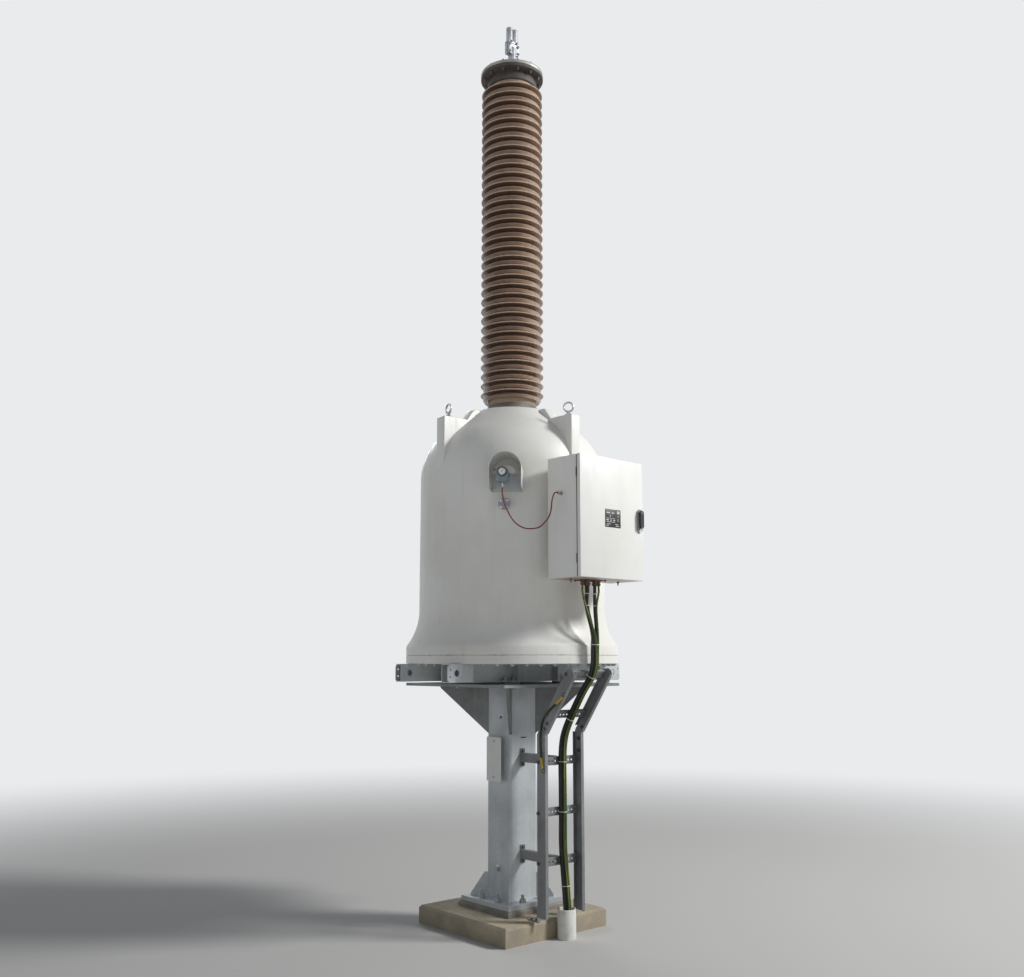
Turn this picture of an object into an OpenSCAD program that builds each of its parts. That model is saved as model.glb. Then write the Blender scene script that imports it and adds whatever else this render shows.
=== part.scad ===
// Gas-insulated high-voltage pole: pressure tank with a porcelain bushing,
// terminal cabinet and gas gauge, on a square post with a cable ladder.
// Millimetres. Z is up, the origin is the middle of the plinth's underside,
// and the cabinet door looks towards -Y.

/* [Foundation] */
// Side of the square concrete plinth
plinth_w = 920; // [900:10:1000]
// Height of the plinth
plinth_h = 120; // [100:5:180]
// Chamfer on the plinth's upper edges
plinth_chamfer = 15; // [8:1:25]
// Side of the grout bed and of the base plate
base_plate_w = 500; // [460:10:560]
// Thickness of the grout bed
grout_t = 40; // [25:5:60]
// Thickness of the base plate
base_plate_t = 30; // [20:1:40]

/* [Post] */
// Side of the square hollow post
post_w = 250; // [220:10:280]
// Wall of the post
post_wall = 9; // [6:1:12]
// Outer corner radius of the post
post_corner = 20; // [14:1:26]
// Length of the post between its plates
post_h = 1440; // [1400:10:1560]
// Height of the gussets at the foot
foot_gusset_h = 160; // [120:10:200]
// Height of the gussets under the head plate
head_gusset_h = 332; // [280:4:380]

/* [Head and base frame] */
// Side of the square head plate
head_plate_w = 1080; // [1040:10:1160]
// Thickness of the head plate
head_plate_t = 20; // [15:1:30]
// Thickness of the packers under the frame
packer_t = 15; // [10:1:20]
// Length of the two frame channels
frame_l = 1620; // [1540:10:1660]
// Width over the two frame channels
frame_w = 570; // [520:10:620]
// Height of the frame channels
channel_h = 120; // [100:5:140]
// Flange width of the frame channels
channel_flange = 60; // [50:2:65]
// Wall of the frame channels
channel_wall = 6; // [5:0.5:8]
// Diameter of the lifting holes at the channel ends
lift_hole_d = 43; // [36:1:50]

/* [Tank] */
// Outer radius of the tank
tank_r = 668; // [660:2:676]
// Wall of the tank
tank_wall = 15; // [10:1:20]
// Outer radius of the bottom flanges
flange_r = 757; // [745:1:765]
// Thickness of the tank's base
base_t = 58; // [50:1:70]
// Height of the rim above the base
rim_h = 65; // [55:1:75]
// Radius of the hollow flare above the rim
flare_r = 400; // [360:10:440]
// Height of the straight wall
straight_h = 950; // [940:10:1000]
// Radius of the shoulder
shoulder_r = 420; // [400:5:440]
// Thickness of the four lifting lugs
lug_t = 85; // [70:1:100]
// Height of the lug tops above the shoulder's lower edge
lug_h = 390; // [380:1:396]

/* [Bushing] */
// Radius of the porcelain's body
core_r = 165; // [155:1:172]
// Radius of the large sheds
large_shed_r = 234; // [226:1:238]
// Radius of the small sheds
small_shed_r = 216; // [205:1:222]
// Number of large sheds
shed_count = 34; // [30:1:36]
// Distance from one large shed to the next
shed_pitch = 72.3; // [71:0.1:75]
// Radius of the cap
cap_r = 241; // [236:1:250]

/* [Cabinet] */
// Width of the cabinet
cabinet_w = 600; // [590:5:620]
// Height of the cabinet
cabinet_h = 800; // [780:5:820]
// Depth of the cabinet body
cabinet_d = 265; // [250:5:280]
// Sheet thickness of the cabinet and its door
sheet_t = 3; // [2.5:0.5:4]
// Thickness of the door
door_t = 28; // [24:1:32]
// Gap between the body and the door
door_gap = 8; // [8:0.5:10]
// Gap between the tank and the back of the cabinet
cabinet_gap = 32; // [26:1:40]

/* [Gauge] */
// Outer radius of the sun hood's arch
hood_r = 107.5; // [102:0.5:115]
// Depth of the hood
hood_d = 248; // [240:2:270]
// Distance from the tank's axis to the gauge's middle
gauge_reach = 895; // [888:1:905]

/* [Cable ladder] */
// Width over the ladder's rails
ladder_w = 360; // [350:5:380]
// Depth of the rails
rail_d = 80; // [76:1:84]
// Flange width of the rails
rail_flange = 25; // [22:1:28]
// Height of the bend above the plinth
bend_h = 1205; // [1180:5:1230]
// Lean of the upper rails
ladder_lean = 35; // [33:1:37]
// Length of the upper rails
upper_l = 490; // [450:5:510]

/* [Hidden] */
$fn = 64;
// A cut passes this far beyond the face it opens
past = 1;

// Heights of the stack, from the ground up
grout_z = plinth_h;
plate_z = grout_z + grout_t;
post_z = plate_z + base_plate_t;
head_z = post_z + post_h;
packer_z = head_z + head_plate_t;
frame_z = packer_z + packer_t;
base_z = frame_z + channel_h;
split_z = base_z + base_t;
rim_z = split_z + rim_h;
flare_step = flange_r - tank_r;
wall_z = rim_z + sqrt(pow(flare_r, 2) - pow(flare_r - flare_step, 2));
shoulder_z = wall_z + straight_h;

// Shoulder, cone and crown of the tank
shoulder_turn = 50;
crown_r = 100;
crown_land = 271;
cone_low_r = tank_r - shoulder_r * (1 - cos(shoulder_turn));
cone_low_z = shoulder_z + shoulder_r * sin(shoulder_turn);
cone_high_r = crown_land + crown_r * cos(shoulder_turn);
cone_high_z = cone_low_z + (cone_low_r - cone_high_r) / tan(shoulder_turn);
crown_z = cone_high_z - crown_r * sin(shoulder_turn);
top_z = crown_z + crown_r;

// Frame channels and their end plates
channel_y = frame_w / 2;
end_plate_l = 210;
end_plate_t = 8;
end_plate_chamfer = 15;
lift_hole_inset = 75;
small_hole_d = 13;
small_hole_inset = 20;
small_hole_pitch = 46;
stiffener_x = 190;
stiffener_t = 8;
packer_l = 140;
packer_x = 250;

// Post details
foot_gusset_w = 120;
foot_gusset_t = 12;
head_gusset_t = 20;
head_gusset_inset = 250;
head_gusset_reach = head_plate_w / sqrt(2) - head_gusset_inset;
gusset_lip = 15;
vent_hole_d = 20;
vent_hole_y = -23;
vent_hole_drop = 216;

// Lug outline and lifting eyes
lug_z = shoulder_z + lug_h;
lug_edge = 14;
lug_flat_r = 475;
lug_valley_r = 460;
lug_arm_r = 402;
lug_arm_rise = 77;
eye_radius = 597;
eye_turns = [20, 100, -9, -45];
eye_ring_r = 33;
eye_bar_r = 7;
eye_centre_h = 62;
eye_collar_r = 30;
eye_collar_h = 10;

// Bushing and terminal
bushing_flange_r = 184;
bushing_flange_h = 57;
porcelain_z = top_z + bushing_flange_h;
collar_h = 52;
shed_rise = 36;
first_shed_z = porcelain_z + collar_h + shed_rise;
porcelain_h = collar_h + shed_rise + (shed_count - 1) * shed_pitch + 35;
neck_z = porcelain_z + porcelain_h;
cement_r = 175;
cement_h = 21;
neck_r = 190;
neck_h = 75;
cap_z = neck_z + cement_h + neck_h;
cap_layer = 25;
cap_seam = 1.5;
terminal_z = cap_z + 2 * cap_layer;
stem_r = 30;
stem_h = 234;
stem_foot_r = 48;
stem_foot_h = 16;
clamp_rise = 174;
clamp_h = 219;
clamp_w = 104;
clamp_d = 52;
keeper_h = 90;
keeper_gap = 4;
bridge_h = 106;
sleeve_r = 25;
conductor_r = 16;
conductor_pitch = 54;
conductor_depth = 110;

// Gauge, its hood and the blank flange below, seen along their heading
gauge_heading = 225;
hood_z = shoulder_z - 68;
hood_drop = 126;
hood_side = 12;
hood_back = tank_r + 31;
hood_opening_r = 58;
stud_r = 7;
stud_side = 85;
gauge_side = -7;
housing_w = 76;
housing_h = 96;
housing_d = 54;
housing_z = hood_z - 42;
dial_rise = 20;
bezel_r = 36;
bezel_t = 14;
glass_r = 30;
glass_drop = 4;
gland_h = 34;
pipe_r = 11;
pipe_clear = 6;
pipe_flange_r = 30;
pipe_flange_t = 12;
pipe_l = gauge_reach - housing_d / 2 - tank_r;
pipe_nut_h = 34;
blank_drop = 201;
blank_r = 41;
blank_t = 16;
blank_stub_r = 24;
blank_reach = 24;

// Cabinet, door and handle
cabinet_back_y = -(tank_r + cabinet_gap);
cabinet_front_y = cabinet_back_y - cabinet_d;
door_back_y = cabinet_front_y - door_gap;
door_front_y = door_back_y - door_t;
cabinet_z = wall_z + 177;
cabinet_mid_z = cabinet_z + cabinet_h / 2;
return_w = 26;
gasket_w = 9;
gasket_t = 3;
bracket_h = 50;
bracket_w = 400;
bracket_inset = 110;
gland_x = -30;
gland_y = cabinet_back_y - 120;
gland_plate_w = 190;
gland_plate_d = 120;
gland_plate_t = 4;
stud_length = 22;
hinge_out = 2;
hinge_x = -(cabinet_w / 2 + hinge_out);
hinge_y = (cabinet_front_y + door_back_y) / 2;
knuckle_r = 3.5;
knuckle_h = 20;
knuckle_gap = 1;
hinge_pin_r = 1.75;
pin_clear = 0.06;
hinge_leaf_w = 16;
hinge_leaf_t = 2;
hinge_inset = 120;
door_return = 15;
handle_x = cabinet_w / 2 - 37;
handle_z = cabinet_mid_z + 2;
handle_base_w = 46;
handle_base_h = 158;
handle_base_t = 12;
handle_pivot_up = 52;
shaft_r = 8;
shaft_clear = 0.08;
lever_gap = 5;
lever_t = 14;
lever_w = 34;
lever_l = 104;
retainer_r = 13;
retainer_t = 4;
plate_mid_x = 4;
plate_w = 148;
plate_h = 120;
plate_t = 1.5;
side_gland_y = cabinet_back_y - 130;
side_gland_up = 557;
side_gland_z = cabinet_z + side_gland_up;
side_gland_l = 36;

// Ladder
rail_wall = 3;
rail_gap = 5;
rail_back_y = -(plinth_w / 2 - rail_gap);
rail_mid_y = rail_back_y - rail_d / 2;
rail_low_z = plinth_h + 30;
bend_z = plinth_h + bend_h;
upper_start = rail_d / 2 * tan(ladder_lean);
tip_chamfer = 34;
foot_leg = 100;
foot_leg_t = 6;
rung_h = 55;
rung_d = 18;
rung_wall = 2.5;
rung_heights = [370, 690, 1020];
upper_rung_places = [137, 462];
splice_t = 4;
splice_low = 150;
splice_high = 100;
bracket_x = -16;
arm_w = 40;
arm_h = 62;
arm_wall = 3;
arm_plate_h = 122;
arm_plate_t = 8;

// Phase plate and conduit
phase_w = 153;
phase_h = 303;
phase_t = 3;
phase_y = 8;
phase_rise = 785;
phase_z = post_z + phase_rise;
phase_standoff = 36;
standoff_r = 6;
standoff_inset = 30;
conduit_r = 62;
conduit_wall = 5;
conduit_h = 190;
conduit_x = 20;
conduit_y = -(plinth_w / 2 + conduit_r);

// Cables: radius, place at the gland plate, steps to the side and to the
// front below it, place where they join, and place within the bundle
cable_r = [15, 11, 6.5, 6.5];
cable_gland_x = [-30, 42, -74, 79];
cable_swing = [4, 4, -2, 0];
cable_front = [5, 5, -34, -24];
join_x = [-4, 32, -16, 32];
bundle_x = [2, 32, 6, 24];
bundle_lift = [0, 0, 29, 26];
cable_gland_h = 34;
lead_r = 4.5;

function unit(v) = v / norm(v);
function arc(mid, r, from, to, steps) =
  [for (i = [0:steps]) let (a = from + (to - from) * i / steps)
    [mid.x + r * cos(a), mid.y + r * sin(a)]];
// A smooth curve through the points, in equal parts between each two
function between(a, b, c, d, t) =
  ((2 * b) + (c - a) * t + (2 * a - 5 * b + 4 * c - d) * t * t
    + (3 * b - a - 3 * c + d) * t * t * t) / 2;
function smooth(p, parts) = let (n = len(p)) concat(
  [for (i = [0:n - 2]) for (j = [0:parts - 1])
    between(p[max(i - 1, 0)], p[i], p[i + 1], p[min(i + 2, n - 1)], j / parts)],
  [p[n - 1]]);
function heading(p, i) =
  unit(p[min(i + 1, len(p) - 1)] - p[max(i - 1, 0)]);
// One ring of a tube, across the heading and turned from the side direction
function ring(mid, ahead, side, r, sides) =
  let (u = unit(side - (side * ahead) * ahead), v = cross(ahead, u))
  [for (k = [0:sides - 1]) let (a = 360 * k / sides)
    mid + r * cos(a) * u + r * sin(a) * v];

module tube(path, r, side, sides = 8) {
  rings = len(path);
  points = [for (i = [0:rings - 1]) each ring(path[i], heading(path, i), side, r, sides)];
  walls = [for (i = [0:rings - 2]) for (k = [0:sides - 1])
    let (a = i * sides, b = a + sides, m = (k + 1) % sides)
    each [[a + k, a + m, b + m], [a + k, b + m, b + k]]];
  low_end = [for (k = [0:sides - 1]) sides - 1 - k];
  high_end = [for (k = [0:sides - 1]) (rings - 1) * sides + k];
  polyhedron(points, concat(walls, [low_end, high_end]));
}

module box(low, high) {
  translate(low) cube(high - low);
}

module rounded_square(w, r) {
  square([w - 2 * r, w], center = true);
  square([w, w - 2 * r], center = true);
  for (x = [-1, 1], y = [-1, 1])
    translate([x * (w / 2 - r), y * (w / 2 - r)]) circle(r);
}

// A plate standing in the diagonal plane of the post, drawn as reach and height
module diagonal_plates(t, outline) {
  for (a = [45:90:315])
    rotate([0, 0, a]) rotate([90, 0, 0])
      linear_extrude(t, center = true) polygon(outline);
}

module post_outside() {
  translate([0, 0, post_z]) linear_extrude(post_h) rounded_square(post_w, post_corner);
}

module tank_outside() {
  translate([0, 0, rim_z]) cylinder(r = tank_r, h = lug_z - rim_z, $fn = 128);
}

module bevelled(w, h, c) {
  rotate([90, 0, 0]) linear_extrude(w, center = true)
    polygon([[-w / 2, 0], [w / 2, 0], [w / 2, h - c], [w / 2 - c, h], [c - w / 2, h], [-w / 2, h - c]]);
}

module plinth() color("tan") intersection() {
  bevelled(plinth_w, plinth_h, plinth_chamfer);
  rotate([0, 0, 90]) bevelled(plinth_w, plinth_h, plinth_chamfer);
}

module grout_pad() color("gray") translate([0, 0, grout_z]) intersection() {
  bevelled(base_plate_w + 30, grout_t, 15);
  rotate([0, 0, 90]) bevelled(base_plate_w + 30, grout_t, 15);
}

module base_plate() color("silver")
  box([-base_plate_w / 2, -base_plate_w / 2, plate_z], [base_plate_w / 2, base_plate_w / 2, post_z]);

module foot_gussets() color("silver") difference() {
  inner = post_w / 2;
  outer = post_w / sqrt(2) + foot_gusset_w - 8;
  diagonal_plates(foot_gusset_t, [
    [inner, post_z], [outer, post_z], [outer, post_z + gusset_lip],
    [post_w / sqrt(2) + gusset_lip, post_z + foot_gusset_h], [inner, post_z + foot_gusset_h]
  ]);
  post_outside();
}

module post() color("silver") difference() {
  post_outside();
  translate([0, 0, post_z - past]) linear_extrude(post_h + 2 * past)
    rounded_square(post_w - 2 * post_wall, post_corner - post_wall);
  translate([-post_w / 2 - past, vent_hole_y, head_z - vent_hole_drop]) rotate([0, 90, 0])
    cylinder(d = vent_hole_d, h = post_wall + 2 * past);
}

module head_gussets() color("silver") difference() {
  inner = post_w / 2;
  diagonal_plates(head_gusset_t, [
    [inner, head_z - head_gusset_h], [post_w / sqrt(2) - 8, head_z - head_gusset_h],
    [head_gusset_reach, head_z - gusset_lip], [head_gusset_reach, head_z], [inner, head_z]
  ]);
  post_outside();
}

module head_plate() color("silver")
  box([-head_plate_w / 2, -head_plate_w / 2, head_z], [head_plate_w / 2, head_plate_w / 2, packer_z]);

module frame_packers() color("silver")
  for (x = [-packer_x, packer_x], y = [-channel_y, channel_y - channel_flange])
    box([x - packer_l / 2, y, packer_z], [x + packer_l / 2, y + channel_flange, frame_z]);

module lift_holes() {
  for (x = [-1, 1])
    translate([x * (frame_l / 2 - lift_hole_inset), past - channel_y + channel_flange, frame_z + channel_h / 2])
      rotate([90, 0, 0]) cylinder(d = lift_hole_d, h = channel_flange + end_plate_t + 2 * past);
}

module frame_channel() difference() {
  union() {
    difference() {
      box([-frame_l / 2, -channel_y, frame_z], [frame_l / 2, channel_flange - channel_y, base_z]);
      box([-frame_l / 2 - past, -channel_y - past, frame_z + channel_wall],
        [frame_l / 2 + past, channel_flange - channel_wall - channel_y, base_z - channel_wall]);
    }
    for (x = [-stiffener_x, stiffener_x])
      box([x - stiffener_t / 2, channel_wall - channel_y, frame_z + channel_wall / 2],
        [x + stiffener_t / 2, channel_flange - channel_wall / 2 - channel_y, base_z - channel_wall / 2]);
  }
  lift_holes();
}

module frame_channels() color("silver")
  for (a = [0, 180]) rotate([0, 0, a]) frame_channel();

module end_plate() {
  e = end_plate_chamfer;
  difference() {
    translate([-frame_l / 2, -channel_y, frame_z]) rotate([90, 0, 0]) linear_extrude(end_plate_t)
      polygon([[e, 0], [end_plate_l, 0], [end_plate_l, channel_h], [e, channel_h], [0, channel_h - e], [0, e]]);
    lift_holes();
    for (z = [-1, 1])
      translate([small_hole_inset - frame_l / 2, past - channel_y, frame_z + channel_h / 2 + z * small_hole_pitch / 2])
        rotate([90, 0, 0]) cylinder(d = small_hole_d, h = end_plate_t + 2 * past);
  }
}

module frame_end_plates() color("silver")
  for (a = [0, 180]) rotate([0, 0, a]) {
    end_plate();
    mirror([1, 0, 0]) end_plate();
  }

module tank_base() color("ivory")
  translate([0, 0, base_z]) cylinder(r = flange_r, h = base_t, $fn = 128);

// Half outline of the tank, offset inwards by t from the shoulder up
function upper_outline(t) = concat(
  arc([tank_r - shoulder_r, shoulder_z], shoulder_r - t, 0, shoulder_turn, 10),
  arc([crown_land, crown_z], crown_r - t, shoulder_turn, 90, 6),
  [[0, top_z - t]]);

module lug() {
  outside = tank_r + 2;
  outline = concat(
    [[cone_high_r - 60, shoulder_z], [outside, shoulder_z]],
    arc([outside - lug_edge, lug_z - lug_edge], lug_edge, 0, 90, 4),
    [[lug_flat_r, lug_z + 3], [lug_valley_r, lug_z], [lug_arm_r, lug_z + lug_arm_rise],
      [lug_arm_r - 14, lug_z + lug_arm_rise + 9], [cone_high_r + 30, lug_z + lug_arm_rise + 9],
      [cone_high_r, cone_high_z]]);
  rotate([90, 0, 0]) linear_extrude(lug_t, center = true) polygon(outline);
}

module tank_bell() color("ivory") difference() {
  union() {
    rotate_extrude($fn = 128) polygon(concat(
      [[0, split_z], [flange_r, split_z], [flange_r, rim_z - 4], [flange_r - 4, rim_z]],
      arc([tank_r + flare_r, wall_z], flare_r, 180 + acos((flare_r - flare_step + 5) / flare_r), 180, 10),
      upper_outline(0)));
    intersection() {
      for (a = [0:90:270]) rotate([0, 0, a]) lug();
      translate([0, 0, shoulder_z]) cylinder(r = tank_r, h = 2 * lug_h, $fn = 128);
    }
  }
  rotate_extrude($fn = 128) polygon(concat(
    [[0, split_z - past], [tank_r - tank_wall, split_z - past]], upper_outline(tank_wall)));
}

module lifting_eye() {
  cylinder(r = eye_collar_r, h = eye_collar_h);
  cylinder(r1 = eye_collar_r - 8, r2 = eye_bar_r + 3, h = eye_centre_h - eye_ring_r);
  translate([0, 0, eye_centre_h]) rotate([0, 90, 0])
    rotate_extrude() translate([eye_ring_r, 0]) circle(eye_bar_r, $fn = 32);
}

module lifting_eyes() color("silver")
  for (i = [0:3])
    rotate([0, 0, 90 * i]) translate([eye_radius, 0, lug_z + 1.5])
      rotate([0, 0, eye_turns[i]]) lifting_eye();

module bushing_flange() color("dimgray")
  translate([0, 0, top_z]) cylinder(r = bushing_flange_r, h = bushing_flange_h);

// One shed's outline from its top to its underside, for a rim at height z
function shed(r, z, root) = [
  [core_r, z + root], [r - 8, z + 6], [r - 2, z + 3], [r, z], [r - 2, z - 4],
  [r - 7, z - 6], [core_r + 16, z - 5], [core_r, z - 11]
];

module porcelain() color("sienna")
  rotate_extrude() polygon(concat(
    [[0, neck_z], [core_r, neck_z]],
    [for (i = [shed_count - 1:-1:0]) let (z = first_shed_z + i * shed_pitch)
      each concat(shed(large_shed_r, z, 22), shed(small_shed_r, z - shed_rise, 20))],
    [[core_r, porcelain_z], [0, porcelain_z]]));

module bushing_neck() color("dimgray") translate([0, 0, neck_z]) {
  cylinder(r = cement_r, h = cement_h);
  translate([0, 0, cement_h]) cylinder(r = neck_r, h = neck_h);
}

module bushing_cap() color("gray") translate([0, 0, cap_z]) {
  cylinder(r = cap_r, h = cap_layer - cap_seam);
  cylinder(r = cap_r - 2, h = 2 * cap_layer - cap_seam);
  translate([0, 0, cap_layer]) cylinder(r = cap_r, h = cap_layer);
}

module terminal_stem() color("silver") translate([0, 0, terminal_z]) {
  cylinder(r = stem_r, h = stem_h);
  cylinder(r1 = stem_foot_r, r2 = stem_foot_r - 10, h = stem_foot_h);
}

module stem_space() {
  translate([0, 0, terminal_z]) cylinder(r = stem_r, h = stem_h);
}

module line_clamp() color("lightgray") difference() {
  z = terminal_z + clamp_rise;
  union() {
    box([-clamp_w / 2, 0, z], [clamp_w / 2, clamp_d / 2, z + keeper_h]);
    box([-clamp_w / 2, -clamp_d / 2, z + keeper_h], [clamp_w / 2, clamp_d / 2, z + bridge_h]);
  }
  stem_space();
}

// Two sleeves side by side, one for each overhead conductor
module clamp_sleeves() color("lightgray") for (x = [-1, 1])
  translate([x * conductor_pitch / 2, 0, terminal_z + clamp_rise + bridge_h]) difference() {
    cylinder(r = sleeve_r, h = clamp_h - bridge_h);
    translate([0, 0, clamp_h - bridge_h - conductor_depth]) cylinder(r = conductor_r, h = conductor_depth + past);
  }

module clamp_keeper() color("lightgray") difference() {
  z = terminal_z + clamp_rise;
  box([-clamp_w / 2, -clamp_d / 2, z], [clamp_w / 2, -keeper_gap, z + keeper_h - keeper_gap]);
  stem_space();
}

// Places its children along the gauge's heading: X outwards, Y to the side
module along_gauge(side) {
  rotate([0, 0, gauge_heading]) translate([0, side, 0]) children();
}

module hood_shape(r) {
  circle(r);
  translate([-r, -hood_drop]) square([2 * r, hood_drop]);
}

module gauge_hood() color("gainsboro") difference() {
  along_gauge(hood_side) {
    translate([hood_back, 0, hood_z]) rotate([90, 0, 90]) {
      linear_extrude(hood_d) difference() {
        hood_shape(hood_r);
        translate([0, -past]) hood_shape(hood_r - sheet_t);
      }
      linear_extrude(sheet_t) difference() {
        hood_shape(hood_r);
        intersection() {
          circle(hood_opening_r);
          translate([-hood_opening_r, 0]) square(2 * hood_opening_r);
        }
        translate([gauge_side - hood_side, housing_z - hood_z]) circle(pipe_r + pipe_clear);
      }
    }
    for (y = [-stud_side, stud_side], z = [hood_z - 98, hood_z + 30])
      translate([tank_r - 40, y, z]) rotate([0, 90, 0]) cylinder(r = stud_r, h = hood_back - tank_r + 40);
  }
  tank_outside();
}

module gauge_housing() color("slategray") along_gauge(gauge_side) {
  front = gauge_reach + housing_d / 2;
  c = 12;
  w = housing_w / 2;
  h = housing_h / 2;
  translate([gauge_reach - housing_d / 2, 0, housing_z]) rotate([90, 0, 90]) linear_extrude(housing_d)
    polygon([[c - w, -h], [w - c, -h], [w, c - h], [w, h], [-w, h], [-w, c - h]]);
  translate([gauge_reach, w, housing_z]) rotate([-90, 0, 0]) {
    cylinder(r = 14, h = 10);
    cylinder(r = 9, h = 16);
  }
}

module gauge_dial() color("dimgray") along_gauge(gauge_side)
  translate([gauge_reach + housing_d / 2, 0, housing_z + dial_rise]) rotate([0, 90, 0])
    difference() {
      cylinder(r = bezel_r, h = bezel_t);
      translate([0, 0, bezel_t - glass_drop]) cylinder(r = glass_r, h = glass_drop + past);
    }

module gauge_gland() color("silver") along_gauge(gauge_side)
  translate([gauge_reach, 0, housing_z - housing_h / 2 - gland_h]) {
    cylinder(r = 9, h = gland_h);
    translate([0, 0, 8]) cylinder(r = 13, h = 12, $fn = 6);
    translate([0, 0, gland_h - 7]) cylinder(r = 13, h = 7, $fn = 6);
  }

module gauge_pipe() color("silver") difference() {
  along_gauge(gauge_side) translate([tank_r - 20, 0, housing_z]) rotate([0, 90, 0]) {
    cylinder(r = pipe_r, h = pipe_l + 20);
    cylinder(r = pipe_flange_r, h = pipe_flange_t + 20);
    translate([0, 0, pipe_l + 20 - pipe_nut_h]) cylinder(r = 20, h = pipe_nut_h, $fn = 6);
  }
  tank_outside();
}

module blank_flange() color("gainsboro") difference() {
  along_gauge(gauge_side) translate([tank_r - 20, 0, hood_z - blank_drop]) rotate([0, 90, 0]) {
    cylinder(r = blank_stub_r, h = blank_reach + 20);
    translate([0, 0, blank_reach + 20]) cylinder(r = blank_r, h = blank_t);
  }
  tank_outside();
}

module cabinet_body() color("ivory") {
  s = sheet_t;
  w = cabinet_w / 2;
  difference() {
    box([-w, cabinet_front_y, cabinet_z], [w, cabinet_back_y, cabinet_z + cabinet_h]);
    box([s - w, cabinet_front_y + s, cabinet_z + s], [w - s, cabinet_back_y - s, cabinet_z + cabinet_h - s]);
    box([return_w - w, cabinet_front_y - past, cabinet_z + return_w],
      [w - return_w, cabinet_front_y + 2 * s, cabinet_z + cabinet_h - return_w]);
    box([gland_x - gland_plate_w / 2 + 15, gland_y - gland_plate_d / 2 + 15, cabinet_z - past],
      [gland_x + gland_plate_w / 2 - 15, gland_y + gland_plate_d / 2 - 15, cabinet_z + s + past]);
  }
  for (x = [-0.35, 0.4])
    translate([x * cabinet_w, gland_y, cabinet_z - stud_length]) cylinder(r = 5, h = stud_length);
}

module cabinet_gasket() color("black") {
  outer = cabinet_w / 2 - return_w + gasket_w;
  inner = outer - gasket_w;
  low = return_w - gasket_w;
  difference() {
    box([-outer, cabinet_front_y - gasket_t, cabinet_z + low],
      [outer, cabinet_front_y, cabinet_z + cabinet_h - low]);
    box([-inner, cabinet_front_y - gasket_t - past, cabinet_z + return_w],
      [inner, cabinet_front_y + past, cabinet_z + cabinet_h - return_w]);
  }
}

module cabinet_brackets() color("ivory") difference() {
  for (z = [cabinet_z + bracket_inset, cabinet_z + cabinet_h - bracket_inset])
    box([-bracket_w / 2, cabinet_back_y, z - bracket_h / 2], [bracket_w / 2, 80 - tank_r, z + bracket_h / 2]);
  tank_outside();
}

module gland_plate() color("silver")
  box([gland_x - gland_plate_w / 2, gland_y - gland_plate_d / 2, cabinet_z - gland_plate_t],
    [gland_x + gland_plate_w / 2, gland_y + gland_plate_d / 2, cabinet_z]);

module bottom_gland(r) {
  cylinder(r = r + 4, h = cable_gland_h);
  translate([0, 0, 8]) cylinder(r = 1.25 * r + 7, h = 10, $fn = 6);
  translate([0, 0, cable_gland_h - 9]) cylinder(r = 1.25 * r + 7, h = 9, $fn = 6);
}

module cable_glands() color("silver") {
  for (i = [0:3])
    translate([gland_x + cable_gland_x[i], gland_y, cabinet_z - gland_plate_t - cable_gland_h])
      bottom_gland(cable_r[i]);
  translate([-cabinet_w / 2 - side_gland_l, side_gland_y, side_gland_z]) rotate([0, 90, 0]) {
    cylinder(r = 9, h = side_gland_l);
    translate([0, 0, 8]) cylinder(r = 13, h = 12, $fn = 6);
    translate([0, 0, side_gland_l - 7]) cylinder(r = 13, h = 7, $fn = 6);
  }
}

// Heights of the middle of each hinge
hinge_heights = [cabinet_z + hinge_inset, cabinet_z + cabinet_h - hinge_inset];
hinge_side = knuckle_h + knuckle_gap;

module knuckle(z, leaf_low_y) {
  translate([hinge_x, hinge_y, z - knuckle_h / 2]) cylinder(r = knuckle_r, h = knuckle_h);
  box([hinge_x, leaf_low_y, z - knuckle_h / 2],
    [hinge_x + hinge_leaf_w, leaf_low_y + hinge_leaf_t, z + knuckle_h / 2]);
}

module cabinet_hinges() color("silver")
  for (z = hinge_heights) {
    knuckle(z, cabinet_front_y - hinge_leaf_t);
    translate([hinge_x, hinge_y, z - 1.5 * hinge_side]) cylinder(r = hinge_pin_r, h = 3 * hinge_side);
  }

module door_hinges() color("silver")
  for (z = hinge_heights, s = [-hinge_side, hinge_side])
    difference() {
      knuckle(z + s, door_back_y);
      translate([hinge_x, hinge_y, z + s - knuckle_h / 2 - past])
        cylinder(r = hinge_pin_r + pin_clear, h = knuckle_h + 2 * past);
    }

module handle_space(r, deep) {
  translate([handle_x, door_front_y + sheet_t + past, handle_z + handle_pivot_up])
    rotate([90, 0, 0]) cylinder(r = r, h = deep);
}

module cabinet_door() color("ivory") {
  s = sheet_t;
  w = cabinet_w / 2;
  low = cabinet_z;
  high = cabinet_z + cabinet_h;
  difference() {
    box([-w, door_front_y, low], [w, door_back_y, high]);
    box([s - w, door_front_y + s, low + s], [w - s, door_back_y - s, high - s]);
    box([door_return - w, door_back_y - 2 * s, low + door_return],
      [w - door_return, door_back_y + past, high - door_return]);
    handle_space(shaft_r + shaft_clear, sheet_t + 2 * past);
  }
}

module nameplate() color("dimgray")
  box([plate_mid_x - plate_w / 2, door_front_y - plate_t, cabinet_mid_z - 62],
    [plate_mid_x + plate_w / 2, door_front_y, cabinet_mid_z - 62 + plate_h]);

// A bar with round ends on the door's face, from its front plane inwards
module rounded_bar(x, low, high, w, front, t) {
  box([x - w / 2, front, low + w / 2], [x + w / 2, front + t, high - w / 2]);
  for (z = [low + w / 2, high - w / 2])
    translate([x, front + t, z]) rotate([90, 0, 0]) cylinder(d = w, h = t);
}

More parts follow.
